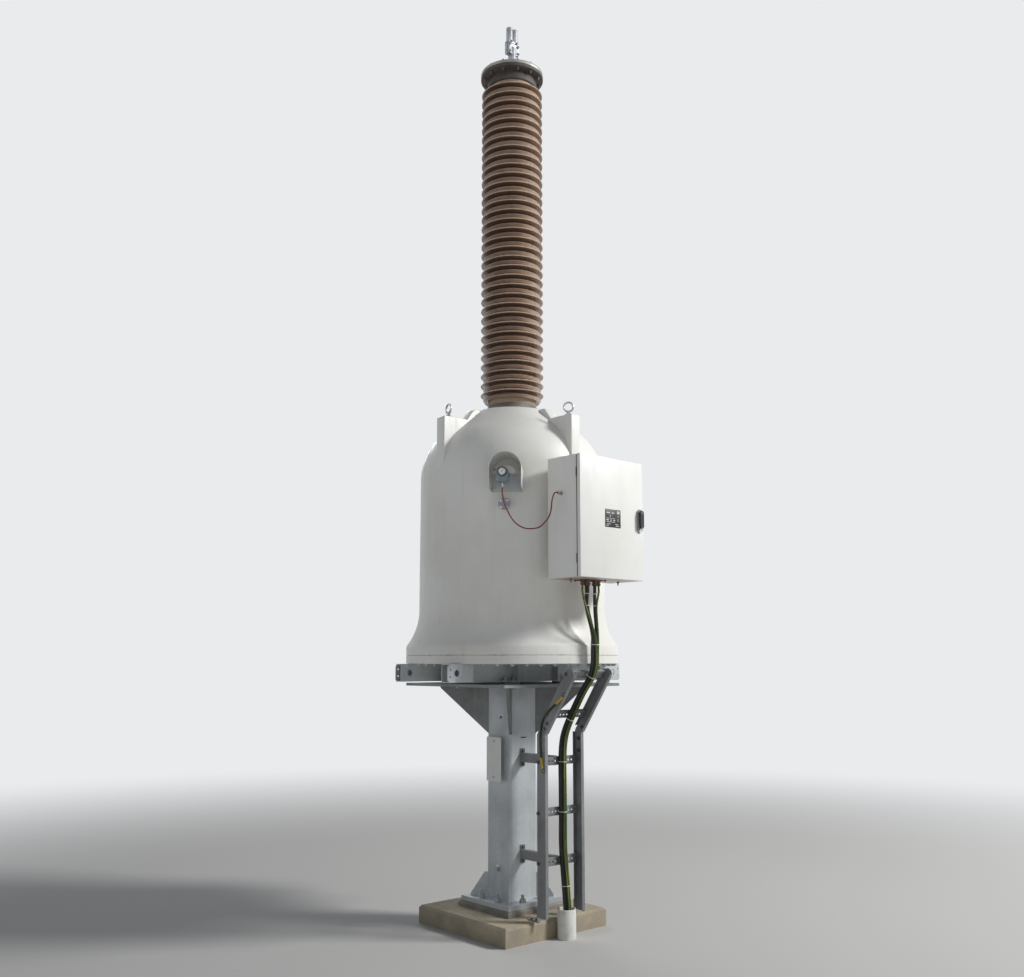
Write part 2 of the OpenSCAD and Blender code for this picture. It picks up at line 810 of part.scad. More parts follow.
module handle_base() color("dimgray") difference() {
  rounded_bar(handle_x, handle_z - handle_base_h / 2, handle_z + handle_base_h / 2,
    handle_base_w, door_front_y - handle_base_t, handle_base_t);
  handle_space(shaft_r + shaft_clear, sheet_t + handle_base_t + 3 * past);
}

module handle_lever() color("black") {
  face = door_front_y - handle_base_t - lever_gap - lever_t;
  pivot = handle_z + handle_pivot_up;
  rounded_bar(handle_x, pivot - lever_l, pivot + lever_w / 2, lever_w, face, lever_t);
  inside = door_front_y + sheet_t + lever_gap;
  translate([handle_x, inside + retainer_t, pivot]) rotate([90, 0, 0]) {
    cylinder(r = shaft_r, h = inside + retainer_t - face - lever_t / 2);
    cylinder(r = retainer_r, h = retainer_t);
  }
}

// Section of one rail with its web outside, extruded upwards
module rail(h) {
  difference() {
    box([0, -rail_d / 2, 0], [rail_flange, rail_d / 2, h]);
    box([rail_wall, rail_wall - rail_d / 2, -past], [rail_flange + past, rail_d / 2 - rail_wall, h + past]);
  }
}

// Places its children at the left rail's web and mirrors them to the right one
module both_rails() {
  for (m = [0, 1]) mirror([m, 0, 0]) translate([-ladder_w / 2, 0, 0]) children();
}

module ladder_rails() color("silver") both_rails() {
  translate([0, rail_mid_y, rail_low_z]) rail(bend_z - rail_low_z);
  box([0, rail_back_y, plinth_h], [rail_flange, rail_back_y + foot_leg_t, plinth_h + foot_leg]);
  box([0, rail_back_y + foot_leg_t / 2, plinth_h], [rail_flange, rail_back_y + foot_leg, plinth_h + foot_leg_t]);
}

module at_bend() {
  translate([0, rail_mid_y, bend_z]) rotate([ladder_lean, 0, 0]) children();
}

module upper_rails() color("silver") both_rails() at_bend() difference() {
  translate([0, 0, upper_start]) rail(upper_l);
  for (s = [-1, 1])
    translate([-past, s * rail_d / 2, upper_start + upper_l]) rotate([45, 0, 0])
      cube([2 * rail_flange, tip_chamfer, tip_chamfer], center = true);
}

// A rung between the rails, open to the back
module rung() {
  inner = ladder_w / 2 - rail_wall;
  difference() {
    box([-inner, 0, -rung_h / 2], [inner, rung_d, rung_h / 2]);
    box([-inner - past, rung_wall, rung_wall - rung_h / 2], [inner + past, rung_d + past, rung_h / 2 - rung_wall]);
  }
}

module ladder_rungs() color("silver") {
  back = rail_d / 2 - rail_wall - rung_d;
  for (z = rung_heights) translate([0, rail_mid_y + back, plinth_h + z]) rung();
  at_bend() for (z = upper_rung_places) translate([0, back, z]) rung();
}

// A bent plate on the inner face of each web, round where it turns
module ladder_splices() color("silver") both_rails() {
  half = rail_d / 2 - rail_wall - 2;
  turned = [cos(ladder_lean), sin(ladder_lean)];
  up = [-sin(ladder_lean), cos(ladder_lean)];
  translate([rail_wall, rail_mid_y, bend_z]) rotate([90, 0, 90]) linear_extrude(splice_t)
    polygon(concat(
      [[-(half + sin(ladder_lean)) / cos(ladder_lean), 1], [-half, 1], [-half, -splice_low], [half, -splice_low]],
      arc([0, 0], half, 0, ladder_lean, 6),
      [half * turned + splice_high * up, splice_high * up - half * turned]));
}

module ladder_brackets() color("silver")
  for (z = [rung_heights[0], rung_heights[2]])
    translate([bracket_x, -post_w / 2, plinth_h + z]) {
      reach = -rail_mid_y - rail_d / 2 + rail_wall - post_w / 2;
      box([-arm_w / 2, -arm_plate_t, -arm_plate_h / 2], [arm_w / 2, 0, arm_plate_h / 2]);
      difference() {
        box([-arm_w / 2, -reach, -arm_h / 2], [arm_w / 2, -arm_plate_t / 2, arm_h / 2]);
        box([arm_wall - arm_w / 2, -reach - past, arm_wall - arm_h / 2],
          [arm_w / 2 + past, -arm_plate_t, arm_h / 2 - arm_wall]);
      }
    }

// Route of the middle of the bundle down the ladder, as Y and height
bundle_y = rail_mid_y + rail_d / 2 - rail_wall - rung_d - 17;
bundle_route = [
  [gland_y + 12, bend_z + 560], [min(gland_y + 30, bundle_y - 297), bend_z + 405], [bundle_y - 190, bend_z + 265],
  [bundle_y - 90, bend_z + 115], [bundle_y - 22, bend_z - 15], [bundle_y, bend_z - 150],
  [bundle_y, bend_z - 350], [bundle_y, bend_z - 550], [bundle_y, bend_z - 750],
  [bundle_y - 8, plinth_h + 260], [conduit_y + 4, conduit_h + 20], [conduit_y, 120], [conduit_y, 20]
];

function cable_route(i) = let (x = gland_x + cable_gland_x[i], z = cabinet_z - gland_plate_t - cable_gland_h)
  concat(
    [[x, gland_y, z], [x, gland_y, z - 20], [x, gland_y, z - 40],
      [x + cable_swing[i], gland_y + cable_front[i], z - 150],
      [join_x[i], gland_y + 8 - bundle_lift[i], bend_z + 665]],
    [for (p = bundle_route) [bundle_x[i] + (p.y < plinth_h + 300 ? conduit_x / 2 : 0), p.x - bundle_lift[i], p.y]]);

module control_cables() color("black")
  for (i = [0:3]) tube(smooth(cable_route(i), 3), cable_r[i], [1, 0, 0]);

// Bonding cable along the left rail, from below the bend to above it
link_r = 7;
link_x = -ladder_w / 2 - link_r;
link_route = [
  [link_x, rail_mid_y - 22, bend_z - 225], [link_x, rail_mid_y - 17, bend_z - 200],
  [link_x, rail_mid_y - 6, bend_z - 144], [link_x, rail_mid_y + 2, bend_z - 59],
  [link_x, rail_mid_y - 2, bend_z + 15], [link_x, rail_mid_y - 25, bend_z + 90],
  [link_x, rail_mid_y - 79, bend_z + 151], [link_x, rail_mid_y - 142, bend_z + 195],
  [link_x, rail_mid_y - 200, bend_z + 235], [link_x, rail_mid_y - 215, bend_z + 252]
];

module earth_link() color("darkolivegreen")
  tube(smooth(link_route, 3), link_r, [1, 0, 0]);

module phase_plate() color("gainsboro") {
  face = -post_w / 2 - phase_standoff;
  box([face - phase_t, phase_y - phase_w / 2, phase_z], [face, phase_y + phase_w / 2, phase_z + phase_h]);
  for (z = [phase_z + standoff_inset, phase_z + phase_h - standoff_inset])
    translate([face - phase_t / 2, phase_y, z]) rotate([0, 90, 0])
      cylinder(r = standoff_r, h = phase_standoff + phase_t / 2);
}

module conduit_stub() color("white") translate([conduit_x, conduit_y, 0]) difference() {
  cylinder(r = conduit_r, h = conduit_h);
  translate([0, 0, -past]) cylinder(r = conduit_r - conduit_wall, h = conduit_h + 2 * past);
}

// Hanging lead: offsets from the gauge's gland, then from the cabinet's gland
gauge_outlet = [
  gauge_reach * cos(gauge_heading) - gauge_side * sin(gauge_heading),
  gauge_reach * sin(gauge_heading) + gauge_side * cos(gauge_heading),
  housing_z - housing_h / 2 - gland_h
];
cabinet_outlet = [-cabinet_w / 2 - side_gland_l, side_gland_y, side_gland_z];
lead_from_gauge = [
  [0, 0, 0], [0, 0, -40], [10, -8, -100], [26, -18, -145], [46, -30, -190],
  [76, -48, -232], [114, -72, -258], [156, -96, -265]
];
lead_from_cabinet = [
  [-104, 70, -232], [-72, 46, -198], [-50, 28, -158], [-40, 20, -112],
  [-38, 14, -64], [-34, 6, -26], [-22, 1, -4], [0, 0, 0]
];
lead_route = concat(
  [for (p = lead_from_gauge) gauge_outlet + p],
  [for (p = lead_from_cabinet) cabinet_outlet + p]);

module gauge_lead() color("darkred")
  tube(smooth(lead_route, 3), lead_r, [1, 1.7, 0]);

plinth();
grout_pad();
base_plate();
foot_gussets();
post();
head_gussets();
head_plate();
frame_packers();
frame_channels();
frame_end_plates();
tank_base();
tank_bell();
lifting_eyes();
bushing_flange();
porcelain();
bushing_neck();
bushing_cap();
terminal_stem();
line_clamp();
clamp_sleeves();
clamp_keeper();
gauge_hood();
gauge_housing();
gauge_dial();
gauge_gland();
gauge_pipe();
blank_flange();
cabinet_body();
cabinet_gasket();
cabinet_brackets();
gland_plate();
cable_glands();
cabinet_hinges();
cabinet_door();
door_hinges();
nameplate();
handle_base();
handle_lever();
ladder_rails();
upper_rails();
ladder_rungs();
ladder_splices();
ladder_brackets();
control_cables();
earth_link();
phase_plate();
conduit_stub();
gauge_lead();
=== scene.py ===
"""Gas-insulated high-voltage pole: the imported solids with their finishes, and the pieces that only the eye needs.

Metres. Z is up, the origin is the middle of the plinth's underside, and the cabinet door looks towards -Y.
"""

import math
from math import cos, pi, radians, sin, sqrt

import bpy
from mathutils import Matrix, Vector


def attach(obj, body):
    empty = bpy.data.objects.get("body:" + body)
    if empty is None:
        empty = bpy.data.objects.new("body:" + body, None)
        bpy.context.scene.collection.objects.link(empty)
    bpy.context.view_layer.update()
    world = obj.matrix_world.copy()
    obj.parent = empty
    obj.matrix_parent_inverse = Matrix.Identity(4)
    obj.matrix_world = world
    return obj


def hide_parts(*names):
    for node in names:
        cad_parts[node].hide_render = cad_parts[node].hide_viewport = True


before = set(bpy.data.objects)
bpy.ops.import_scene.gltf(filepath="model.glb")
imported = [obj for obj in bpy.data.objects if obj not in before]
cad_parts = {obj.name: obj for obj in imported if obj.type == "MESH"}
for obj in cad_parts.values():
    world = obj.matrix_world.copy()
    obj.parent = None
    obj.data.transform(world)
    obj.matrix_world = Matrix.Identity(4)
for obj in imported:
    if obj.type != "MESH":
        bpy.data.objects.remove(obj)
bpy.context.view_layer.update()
bpy.ops.object.select_all(action="DESELECT")

# The ways that a piece can look: the door is on the front, the phase plate on the left
UP, DOWN, FRONT, BACK, LEFT, RIGHT = (0, 0, 1), (0, 0, -1), (0, -1, 0), (0, 1, 0), (-1, 0, 0), (1, 0, 0)

# Heights and radii that the solids have too, from the foundation to the terminal
PLINTH_TOP = 0.12
BASE_PLATE_TOP = 0.19
POST_TOP = 1.63
FRAME_LOW = 1.665
FRAME_TOP = 1.785
SPLIT = 1.843
RIM_TOP = 1.908
WALL_LOW = 2.159553
SHOULDER = 3.109553
TANK_R = 0.668
FLANGE_R = 0.757
TANK_TOP = 3.607984
PORCELAIN_LOW = 3.664984
NECK_LOW = 6.173884
CAP_LOW = 6.269884
TERMINAL_LOW = 6.319884

# The ladder's rails: their middle line, the height of their bend and how far they lean above it
RAIL_Y = -0.495
BEND_Z = 1.325
LEAN = radians(35)

# The cabinet, its door, the glands below it and the gauge
CABINET_SIDE = 0.300
CABINET_LOW = 2.336553
CABINET_TOP = 3.136553
CABINET_BACK = -0.700
CABINET_FRONT = -0.965
DOOR_BACK = -0.973
DOOR_FRONT = -1.001
GLAND_Y = -0.820
GLAND_LOW = 2.298553
HOUSING_Z = 2.999553

# Camera: at eye height, off the corner between the door's side and the phase plate's side
camera_data = bpy.data.cameras.new("camera")
camera_data.lens = 36.5
camera_data.shift_y = 0.022
camera = bpy.data.objects.new("camera", camera_data)
bpy.context.scene.collection.objects.link(camera)
camera.location = (-4.982, -5.650, 1.8045)
camera.rotation_euler = (radians(90 + 8.22), 0, -math.atan2(0.6613, 0.7500))
bpy.context.scene.camera = camera
bpy.context.scene.view_settings.view_transform = "Standard"


def linear(code):
    """An sRGB hex colour as the linear colour that a shader takes."""
    parts = [int(code[i : i + 2], 16) / 255 for i in (0, 2, 4)]
    return tuple(c / 12.92 if c <= 0.04045 else ((c + 0.055) / 1.055) ** 2.4 for c in parts) + (1.0,)


def add_node(tree, kind, inputs=(), out=0, **settings):
    """Adds a shader node with its settings and gives one of its outputs.

    Inputs go by name or in order. A socket is linked, a hex colour is made linear, any other value is set.
    """
    node = tree.nodes.new("ShaderNode" + kind)
    for name, value in settings.items():
        setattr(node, name, value)
    for name, value in inputs.items() if isinstance(inputs, dict) else enumerate(inputs):
        if isinstance(value, bpy.types.NodeSocket):
            tree.links.new(value, node.inputs[name])
        else:
            node.inputs[name].default_value = linear(value) if isinstance(value, str) else value
    return node.outputs[out] if node.outputs else None


def start_material(name, *patterns):
    """A new material, its node tree, the object's own coordinates in metres and its random patterns.

    A pattern is the size of its features in metres, its detail, its roughness and its stretch along the axes.
    """
    material = bpy.data.materials.new(name)
    material.use_nodes = True
    tree = material.node_tree
    tree.nodes.clear()
    place = add_node(tree, "TexCoord", out="Object")
    fields = []
    for size, detail, rough, *stretch in patterns:
        drawn = add_node(tree, "Mapping", {"Vector": place, "Scale": stretch[0]}) if stretch else place
        values = {"Vector": drawn, "Scale": 1 / size, "Detail": detail, "Roughness": rough}
        fields.append(add_node(tree, "TexNoise", values))
    return material, tree, place, fields


def share(tree, *masks):
    """The product of masks. Each is a socket, or a pattern with the low and the high between which it counts
    and, where they aren't 0 and 1, the shares that it gives there."""
    product = None
    for mask in masks:
        if isinstance(mask, tuple):
            mask = add_node(tree, "MapRange", mask, interpolation_type="SMOOTHSTEP")
        product = mask if product is None else add_node(tree, "Math", (product, mask), operation="MULTIPLY")
    return product


def layer(tree, under, over, *masks):
    """The colour over laid on the colour under, as much as the product of the masks says."""
    return add_node(tree, "Mix", {0: share(tree, *masks), 6: under, 7: over}, out=2, data_type="RGBA")


def end_material(material, colour, rough, *bumps, **values):
    """Gives the material its shader. A bump is a pattern and its real depth in metres, the coarser one first."""
    tree = material.node_tree
    inputs = {"Base Color": colour, "Roughness": rough}
    inputs.update((key.replace("_", " "), value) for key, value in values.items())
    for height, depth in bumps:
        relief = {"Height": height, "Strength": 1.0, "Distance": depth}
        if "Normal" in inputs:
            relief["Normal"] = inputs["Normal"]
        inputs["Normal"] = add_node(tree, "Bump", relief)
    add_node(tree, "OutputMaterial", {"Surface": add_node(tree, "BsdfPrincipled", inputs)})
    return material


BACKDROP = "E9EBED"


def soft_light_and_floor():
    """A plain pale floor, a wide soft key from the door's side and an even pale surround."""
    world = bpy.data.worlds.new("studio")
    bpy.context.scene.world = world
    world.use_nodes = True
    tree = world.node_tree
    tree.nodes.clear()
    seen = add_node(tree, "Background", {"Color": BACKDROP, "Strength": 1.0})
    lit = add_node(tree, "Background", {"Color": "D4DEED", "Strength": 0.232})
    rays = add_node(tree, "LightPath").node.outputs
    direct = add_node(tree, "Math", (rays["Is Camera Ray"], rays["Is Glossy Ray"]), operation="MAXIMUM")
    either = add_node(tree, "Math", (direct, rays["Is Transmission Ray"]), operation="MAXIMUM")
    add_node(tree, "OutputWorld", {"Surface": add_node(tree, "MixShader", (either, lit, seen))})

    for name, place, target, size, watts in (
        ("key_lamp", (6.9, -8.4, 9.3), (0, 0, 2.8), 2.6, 1440),
        ("fill_lamp", (-11.0, -3.0, 6.0), (0, 0, 3.0), 6.0, 40),
        ("rim_lamp", (4.0, 9.0, 8.0), (0, 0, 3.4), 5.0, 260),
    ):
        lamp = bpy.data.lights.new(name, "AREA")
        lamp.shape = "DISK"
        lamp.size = size
        lamp.energy = watts
        holder = bpy.data.objects.new(name, lamp)
        holder.location = place
        holder.rotation_euler = (Vector(target) - Vector(place)).to_track_quat("-Z", "Y").to_euler()
        bpy.context.scene.collection.objects.link(holder)

    # The floor is a matt pale sheet near the object and runs out into the surround's colour further off
    material, tree, place, _ = start_material("pale_floor")
    away = add_node(tree, "VectorMath", (place,), out="Value", operation="LENGTH")
    sheet = add_node(tree, "BsdfDiffuse", {"Color": "C6C4C0"})
    plain = add_node(tree, "Emission", {"Color": BACKDROP, "Strength": 1.0})
    mix = add_node(tree, "MixShader", (share(tree, (away, 3.6, 11.5)), sheet, plain))
    add_node(tree, "OutputMaterial", {"Surface": mix})
    bpy.ops.mesh.primitive_circle_add(vertices=96, radius=70, fill_type="NGON", location=(0, 0, 0))
    floor = bpy.context.object
    floor.name = "floor"
    floor.data.materials.append(material)
    bpy.ops.object.select_all(action="DESELECT")


soft_light_and_floor()


# Finishes. Object coordinates are metres, so a pattern has the real size of what it stands for, or is drawn
# as coarse as it needs to show, where its function says so.
def zinc_steel(name, fresh, aged, dust, shine=0.52):
    """Hot-dip galvanised steel a few years outside: a chalky patina leaves little of the bare metal, the
    spangle shows as faint 14 mm flakes of lighter and darker grey, and rain draws pale runs down it. The grit
    of the patina is drawn at 4 mm so that it shows."""
    material, tree, place, (cloud, runs, grit) = start_material(
        name, (0.35, 4, 0.55), (0.05, 4, 0.6, (1, 1, 0.07)), (0.004, 2, 0.55))
    spangle = add_node(tree, "TexVoronoi", {"Vector": place, "Scale": 1 / 0.014, "Randomness": 1.0}, out="Color")
    flake = add_node(tree, "SeparateColor", (spangle,))
    colour = layer(tree, fresh, aged, (cloud, 0.35, 0.68))
    colour = layer(tree, colour, aged, add_node(tree, "MapRange", (flake, 0, 1, 0, 0.22)))
    colour = layer(tree, colour, dust, (runs, 0.52, 0.74, 0, 0.5))
    chalk = share(tree, (cloud, 0.3, 0.7, shine - 0.08, shine + 0.1))
    glint = add_node(tree, "MapRange", (flake, 0, 1, -0.05, 0.05))
    rough = add_node(tree, "Math", (chalk, glint), operation="ADD")
    return end_material(material, colour, rough, (cloud, 0.002), (grit, 0.00025), Metallic=0.2, Specular_IOR_Level=0.5)


def sprayed_enamel(name, paint, shade, soil, gloss=0.42, runs_share=0.3, rust_height=None, browner_below=0.0):
    """Two-pack enamel sprayed on steel plate: an even pale coat with a soft gloss, the faint orange peel of
    spraying, drawn at 6 mm so that it shows, rain runs of dust, a thin line of rust at the split and, where
    asked for, a warm brown on the faces that look down."""
    material, tree, place, (cloud, runs, specks, peel) = start_material(
        name, (0.6, 4, 0.55), (0.045, 5, 0.62, (1, 1, 0.05)), (0.006, 3, 0.6), (0.006, 2, 0.55))
    colour = layer(tree, paint, shade, (cloud, 0.36, 0.66))
    colour = layer(tree, colour, soil, (runs, 0.53, 0.78, 0, runs_share))
    colour = layer(tree, colour, soil, (specks, 0.72, 0.82, 0, 0.4))
    if browner_below:
        # A warm brown on the faces that look down, as strong as the argument asks
        upward = add_node(tree, "SeparateXYZ", (add_node(tree, "NewGeometry", out="Normal"),), out="Z")
        colour = layer(tree, colour, "8E6C54", (upward, -0.9, -0.5, browner_below, 0), (cloud, 0.3, 0.6, 0.5, 1))
    if rust_height:
        above = add_node(tree, "SeparateXYZ", (place,), out="Z")
        above = add_node(tree, "Math", (above, rust_height), operation="SUBTRACT")
        away = add_node(tree, "Math", (above,), operation="ABSOLUTE")
        patches = add_node(tree, "TexNoise", {"Vector": place, "Scale": 1 / 0.05, "Detail": 5, "Roughness": 0.7})
        drawn = add_node(tree, "Mapping", {"Vector": place, "Scale": (1, 1, 0.10)})
        drips = add_node(tree, "TexNoise", {"Vector": drawn, "Scale": 1 / 0.016, "Detail": 4, "Roughness": 0.6})
        colour = layer(tree, colour, "7E6150", (away, 0.0012, 0.0055, 1, 0), (patches, 0.48, 0.72, 0, 0.75))
        below = share(tree, (above, -0.058, -0.004), (above, 0, 0.003, 1, 0))
        colour = layer(tree, colour, "B59C82", below, (drips, 0.58, 0.78, 0, 0.3))
    rough = share(tree, (runs, 0.4, 0.75, gloss - 0.05, gloss + 0.2))
    return end_material(
        material, colour, rough, (cloud, 0.0012), (peel, 0.00009),
        Specular_IOR_Level=0.45, Coat_Weight=0.08, Coat_Roughness=0.3)


def porcelain_glaze(name):
    """Brown salt-glazed porcelain of a high-voltage bushing, glassy. Painted shade makes it darker on the
    undersides and towards the core between the sheds. Desert dust lies pale on the upward slopes; the pale
    on the small sheds' steep faces and along the large sheds' thin rims is partly dust and partly painted
    light, and the side towards the key lamp is painted paler, as painted light."""
    material, tree, place, (cloud, runs, pooled) = start_material(
        name, (0.12, 4, 0.6), (0.02, 4, 0.6, (1, 1, 0.12)), (0.009, 3, 0.6))
    flat = add_node(tree, "VectorMath", (place, (1, 1, 0)), operation="MULTIPLY")
    radius = add_node(tree, "VectorMath", (flat,), out="Value", operation="LENGTH")
    # Painted light: this mask grows towards the key lamp's side
    lit_side = add_node(tree, "VectorMath", (flat, (3.6, -2.7, 0)), out="Value", operation="DOT_PRODUCT")
    upward = add_node(tree, "SeparateXYZ", (add_node(tree, "NewGeometry", out="Normal"),), out="Z")
    colour = layer(tree, "836755", "947865", (cloud, 0.35, 0.68))
    # Painted shade: darker on the faces that look down, and towards the core between the sheds
    colour = layer(tree, colour, "604A40", (upward, -0.9, -0.45, 0.85, 0))
    colour = layer(tree, colour, "5A463B", (radius, 0.168, 0.205, 0.7, 0))
    # The mask called dust holds pale dust and painted light together: the small sheds' outer, steep faces,
    # more on the key lamp's side (painted light), the whole side towards the key lamp (painted light), the
    # large sheds' rims (dust and a painted highlight) and dust on the upward slopes
    dust = share(tree, (radius, 0.197, 0.209), (upward, -0.7, -0.25), (lit_side, -0.3, 0.75, 0.12, 0.75))
    for masks in (
        ((lit_side, -0.05, 0.9, 0, 0.75), (upward, -0.98, -0.8, 0.35, 1)),
        ((radius, 0.2258, 0.2288, 0, 0.9),),
        ((upward, 0.15, 0.6), (cloud, 0.25, 0.6, 0.6, 1)),
    ):
        dust = add_node(tree, "Math", (dust, share(tree, *masks)), operation="MAXIMUM")
    dust = share(tree, dust, (runs, 0.3, 0.62, 0.55, 0.95))
    colour = layer(tree, colour, "C9B29C", dust)
    colour = layer(tree, colour, "4A372D", (pooled, 0.66, 0.8, 0, 0.25))
    rough = share(tree, (dust, 0, 0.9, 0.24, 0.62))
    return end_material(
        material, colour, rough, (cloud, 0.0015), Specular_IOR_Level=0.5, Coat_Weight=0.25, Coat_Roughness=0.22)


def cast_concrete(name, sand, grey, pore=0.0045):
    """Concrete cast in plywood and left outside: sand-coloured skin with clouds of grey, small air holes
    darkened with painted shade and a rough grain that is drawn at 5 mm so that it shows."""
    material, tree, place, (cloud, fine) = start_material(name, (0.16, 5, 0.6), (0.005, 4, 0.7))
    holes = add_node(tree, "TexVoronoi", {"Vector": place, "Scale": 1 / (pore * 5)}, out="Distance")
    colour = layer(tree, sand, grey, (cloud, 0.33, 0.66))
    colour = layer(tree, colour, "8A7F6D", (fine, 0.4, 0.75, 0, 0.35))
    # Painted shade: darker in the air holes
    colour = layer(tree, colour, "6D6455", (holes, 0.10, 0.2, 0.55, 0))
    rough = share(tree, (fine, 0.3, 0.7, 0.82, 0.97))
    sunk = share(tree, (holes, 0, 0.2))
    return end_material(material, colour, rough, (fine, 0.0012), (sunk, 0.0016), Specular_IOR_Level=0.3)


def bare_metal(name, bright, dull, rough, stretch=(1, 1, 1), metallic=1.0):
    """Bare metal with a thin dull skin from the weather. Its finishing marks run along one axis and are drawn
    1.5 mm wide so that they show."""
    material, tree, _, (cloud, marks) = start_material(name, (0.05, 4, 0.55), (0.0015, 3, 0.6, stretch))
    colour = layer(tree, bright, dull, (cloud, 0.35, 0.68))
    colour = layer(tree, colour, dull, (marks, 0.5, 0.8, 0, 0.3))
    rough = share(tree, (marks, 0.3, 0.7, rough - 0.07, rough + 0.1))
    return end_material(material, colour, rough, (marks, 0.00008), Metallic=metallic)


def moulded_plastic(name, body, worn, rough, texture=0.0012, depth=0.00005):
    """Moulded or extruded plastic: one colour through, a chalky bloom from the sun and a fine pressed
    texture, drawn at about 1 mm so that it shows."""
    material, tree, _, (cloud, fine) = start_material(name, (0.04, 4, 0.55), (texture, 2, 0.55))
    colour = layer(tree, body, worn, (cloud, 0.4, 0.75, 0, 0.6))
    rough = share(tree, (cloud, 0.3, 0.7, rough - 0.04, rough + 0.12))
    return end_material(material, colour, rough, (fine, depth), Specular_IOR_Level=0.45)


def coated_casting(name, paint, worn, rough, metallic=0.0):
    """Paint or a dark skin on a sand casting: the mould's grain shows through, drawn at 3 mm, and dust sits
    in it."""
    material, tree, _, (cloud, sand) = start_material(name, (0.09, 4, 0.6), (0.003, 3, 0.6))
    colour = layer(tree, paint, worn, (cloud, 0.34, 0.68))
    colour = layer(tree, colour, worn, (sand, 0.55, 0.8, 0, 0.45))
    rough = share(tree, (sand, 0.3, 0.7, rough - 0.05, rough + 0.12))
    return end_material(material, colour, rough, (sand, 0.0004), Metallic=metallic, Specular_IOR_Level=0.4)


def clear_glass(name):
    """The gauge's window: clear glass with a faint film, seen by its reflections."""
    material, tree, _, (smear,) = start_material(name, (0.012, 3, 0.55))
    colour = layer(tree, "F4F7F7", "FFFFFF", (smear, 0.3, 0.8))
    rough = share(tree, (smear, 0.4, 0.7, 0.03, 0.12))
    return end_material(material, colour, rough, Transmission_Weight=1.0, IOR=1.5, Alpha=0.25)


# Galvanised steel: pale and even on the post, greyer on the old ladder, brown and dull on small fasteners.
# The darker grey of the ladder, its rungs and the frame's head, and the dark fasteners, are partly painted shade.
ZINC = zinc_steel("hot_dip_galvanised_steel", "C9CED0", "AEB3B5", "D0D3CF")
# Partly painted shade: the darker grey of the ladder, its rungs and the frame's head
ZINC_DULL = zinc_steel("older_galvanised_steel_with_painted_shade", "8E9090", "787A7B", "9A9790", 0.58)
ZINC_BOLT = zinc_steel("galvanised_fasteners", "B3B7B7", "93989A", "BFBEB7", 0.45)
# Partly painted shade: dark for the bolts that sit in shade on the ladder and under the cap
DARK_BOLT = zinc_steel("weathered_fasteners_with_painted_shade", "6A6863", "55524D", "77756F", 0.5)

# Sprayed enamel: warm cream on the tank, cleaner on the cabinet, streaked on the hood and the phase plate
TANK_PAINT = sprayed_enamel("cream_tank_enamel", "E9E8E2", "E1DFD7", "CCC4B4", 0.44, 0.26, SPLIT)
CABINET_PAINT = sprayed_enamel("cream_cabinet_enamel", "ECEBE6", "E5E4DD", "D2CDC0", 0.36, 0.14, browner_below=0.9)
HOOD_PAINT = sprayed_enamel("cream_hood_enamel", "DFDEDA", "D2D0CB", "B9B0A4", 0.4, 0.3)
PHASE_ENAMEL = sprayed_enamel("white_plate_enamel", "E8E8E3", "DCDBD3", "BDB6A8", 0.34, 0.4)

# Porcelain and mineral pieces: glassy brown, and matt sandy grey with holes
GLAZE = porcelain_glaze("brown_glazed_porcelain")
CONCRETE = cast_concrete("cast_concrete", "BCAE95", "A59C8B")
GROUT = cast_concrete("grout_bed", "A6A196", "8F8B82", 0.003)
CEMENT = cast_concrete("sulphur_cement", "B3A08A", "A08E79", 0.002)
FOAM = cast_concrete("sealing_foam", "C9AE73", "A88B55", 0.003)

# Castings and pressings with a skin: grainy, half matt, dark where they are oxidised and cool where painted.
# The black of the hinges and the grey of the handle's escutcheon are painted shade.
CAST_GREY = coated_casting("grey_cast_flange", "5B5A58", "7A766F", 0.55, 0.2)
CAST_DARK = coated_casting("dark_cast_clamp_ring", "413C38", "544E49", 0.6, 0.1)
CAP_METAL = coated_casting("weathered_cap_casting", "84837F", "A5A39B", 0.46, 0.5)
TIN = coated_casting("tarnished_tinned_lugs", "6C6F6E", "5A5C5A", 0.45, 0.6)
BROWN_BRASS = coated_casting("tarnished_brass_glands", "5E4B3C", "7C6958", 0.5, 0.4)
RUSTY_PLATE = coated_casting("rusted_gland_plate", "5C493F", "7A5A45", 0.75, 0.1)
PORT_PAINT = coated_casting("blue_grey_port_enamel", "A9AEB5", "989DA4", 0.45)
GAUGE_PAINT = coated_casting("blue_grey_gauge_enamel", "7F8B99", "949CA5", 0.42)
BEZEL = coated_casting("dark_bezel_casting", "3B3F44", "5A5D60", 0.4, 0.3)
# Painted shade: black hinges, so that the dark line of shade in the door's seam runs on over them
HINGE_STEEL = coated_casting("black_hinge_steel_as_seam_shade", "2B2C2E", "37373A", 0.55, 0.3)
# Painted shadow: a grey escutcheon that reads as the handle's shadow on the door
ESCUTCHEON_SHADOW_GREY = coated_casting("escutcheon_grey_as_painted_shadow", "85878A", "9B9C9D", 0.42, 0.3)

# Bare metals: a soft shine that is drawn out along the brushing, and none of it on the plated nuts
ALUMINIUM = bare_metal("weathered_aluminium", "B4B6B9", "8F9196", 0.42, (1, 1, 0.1), 0.55)
STAINLESS = bare_metal("brushed_stainless_steel", "BFC0BF", "9A9B9A", 0.3, (1, 1, 0.15))
NICKEL = bare_metal("nickel_plated_brass", "B5B1A6", "8E897D", 0.32)

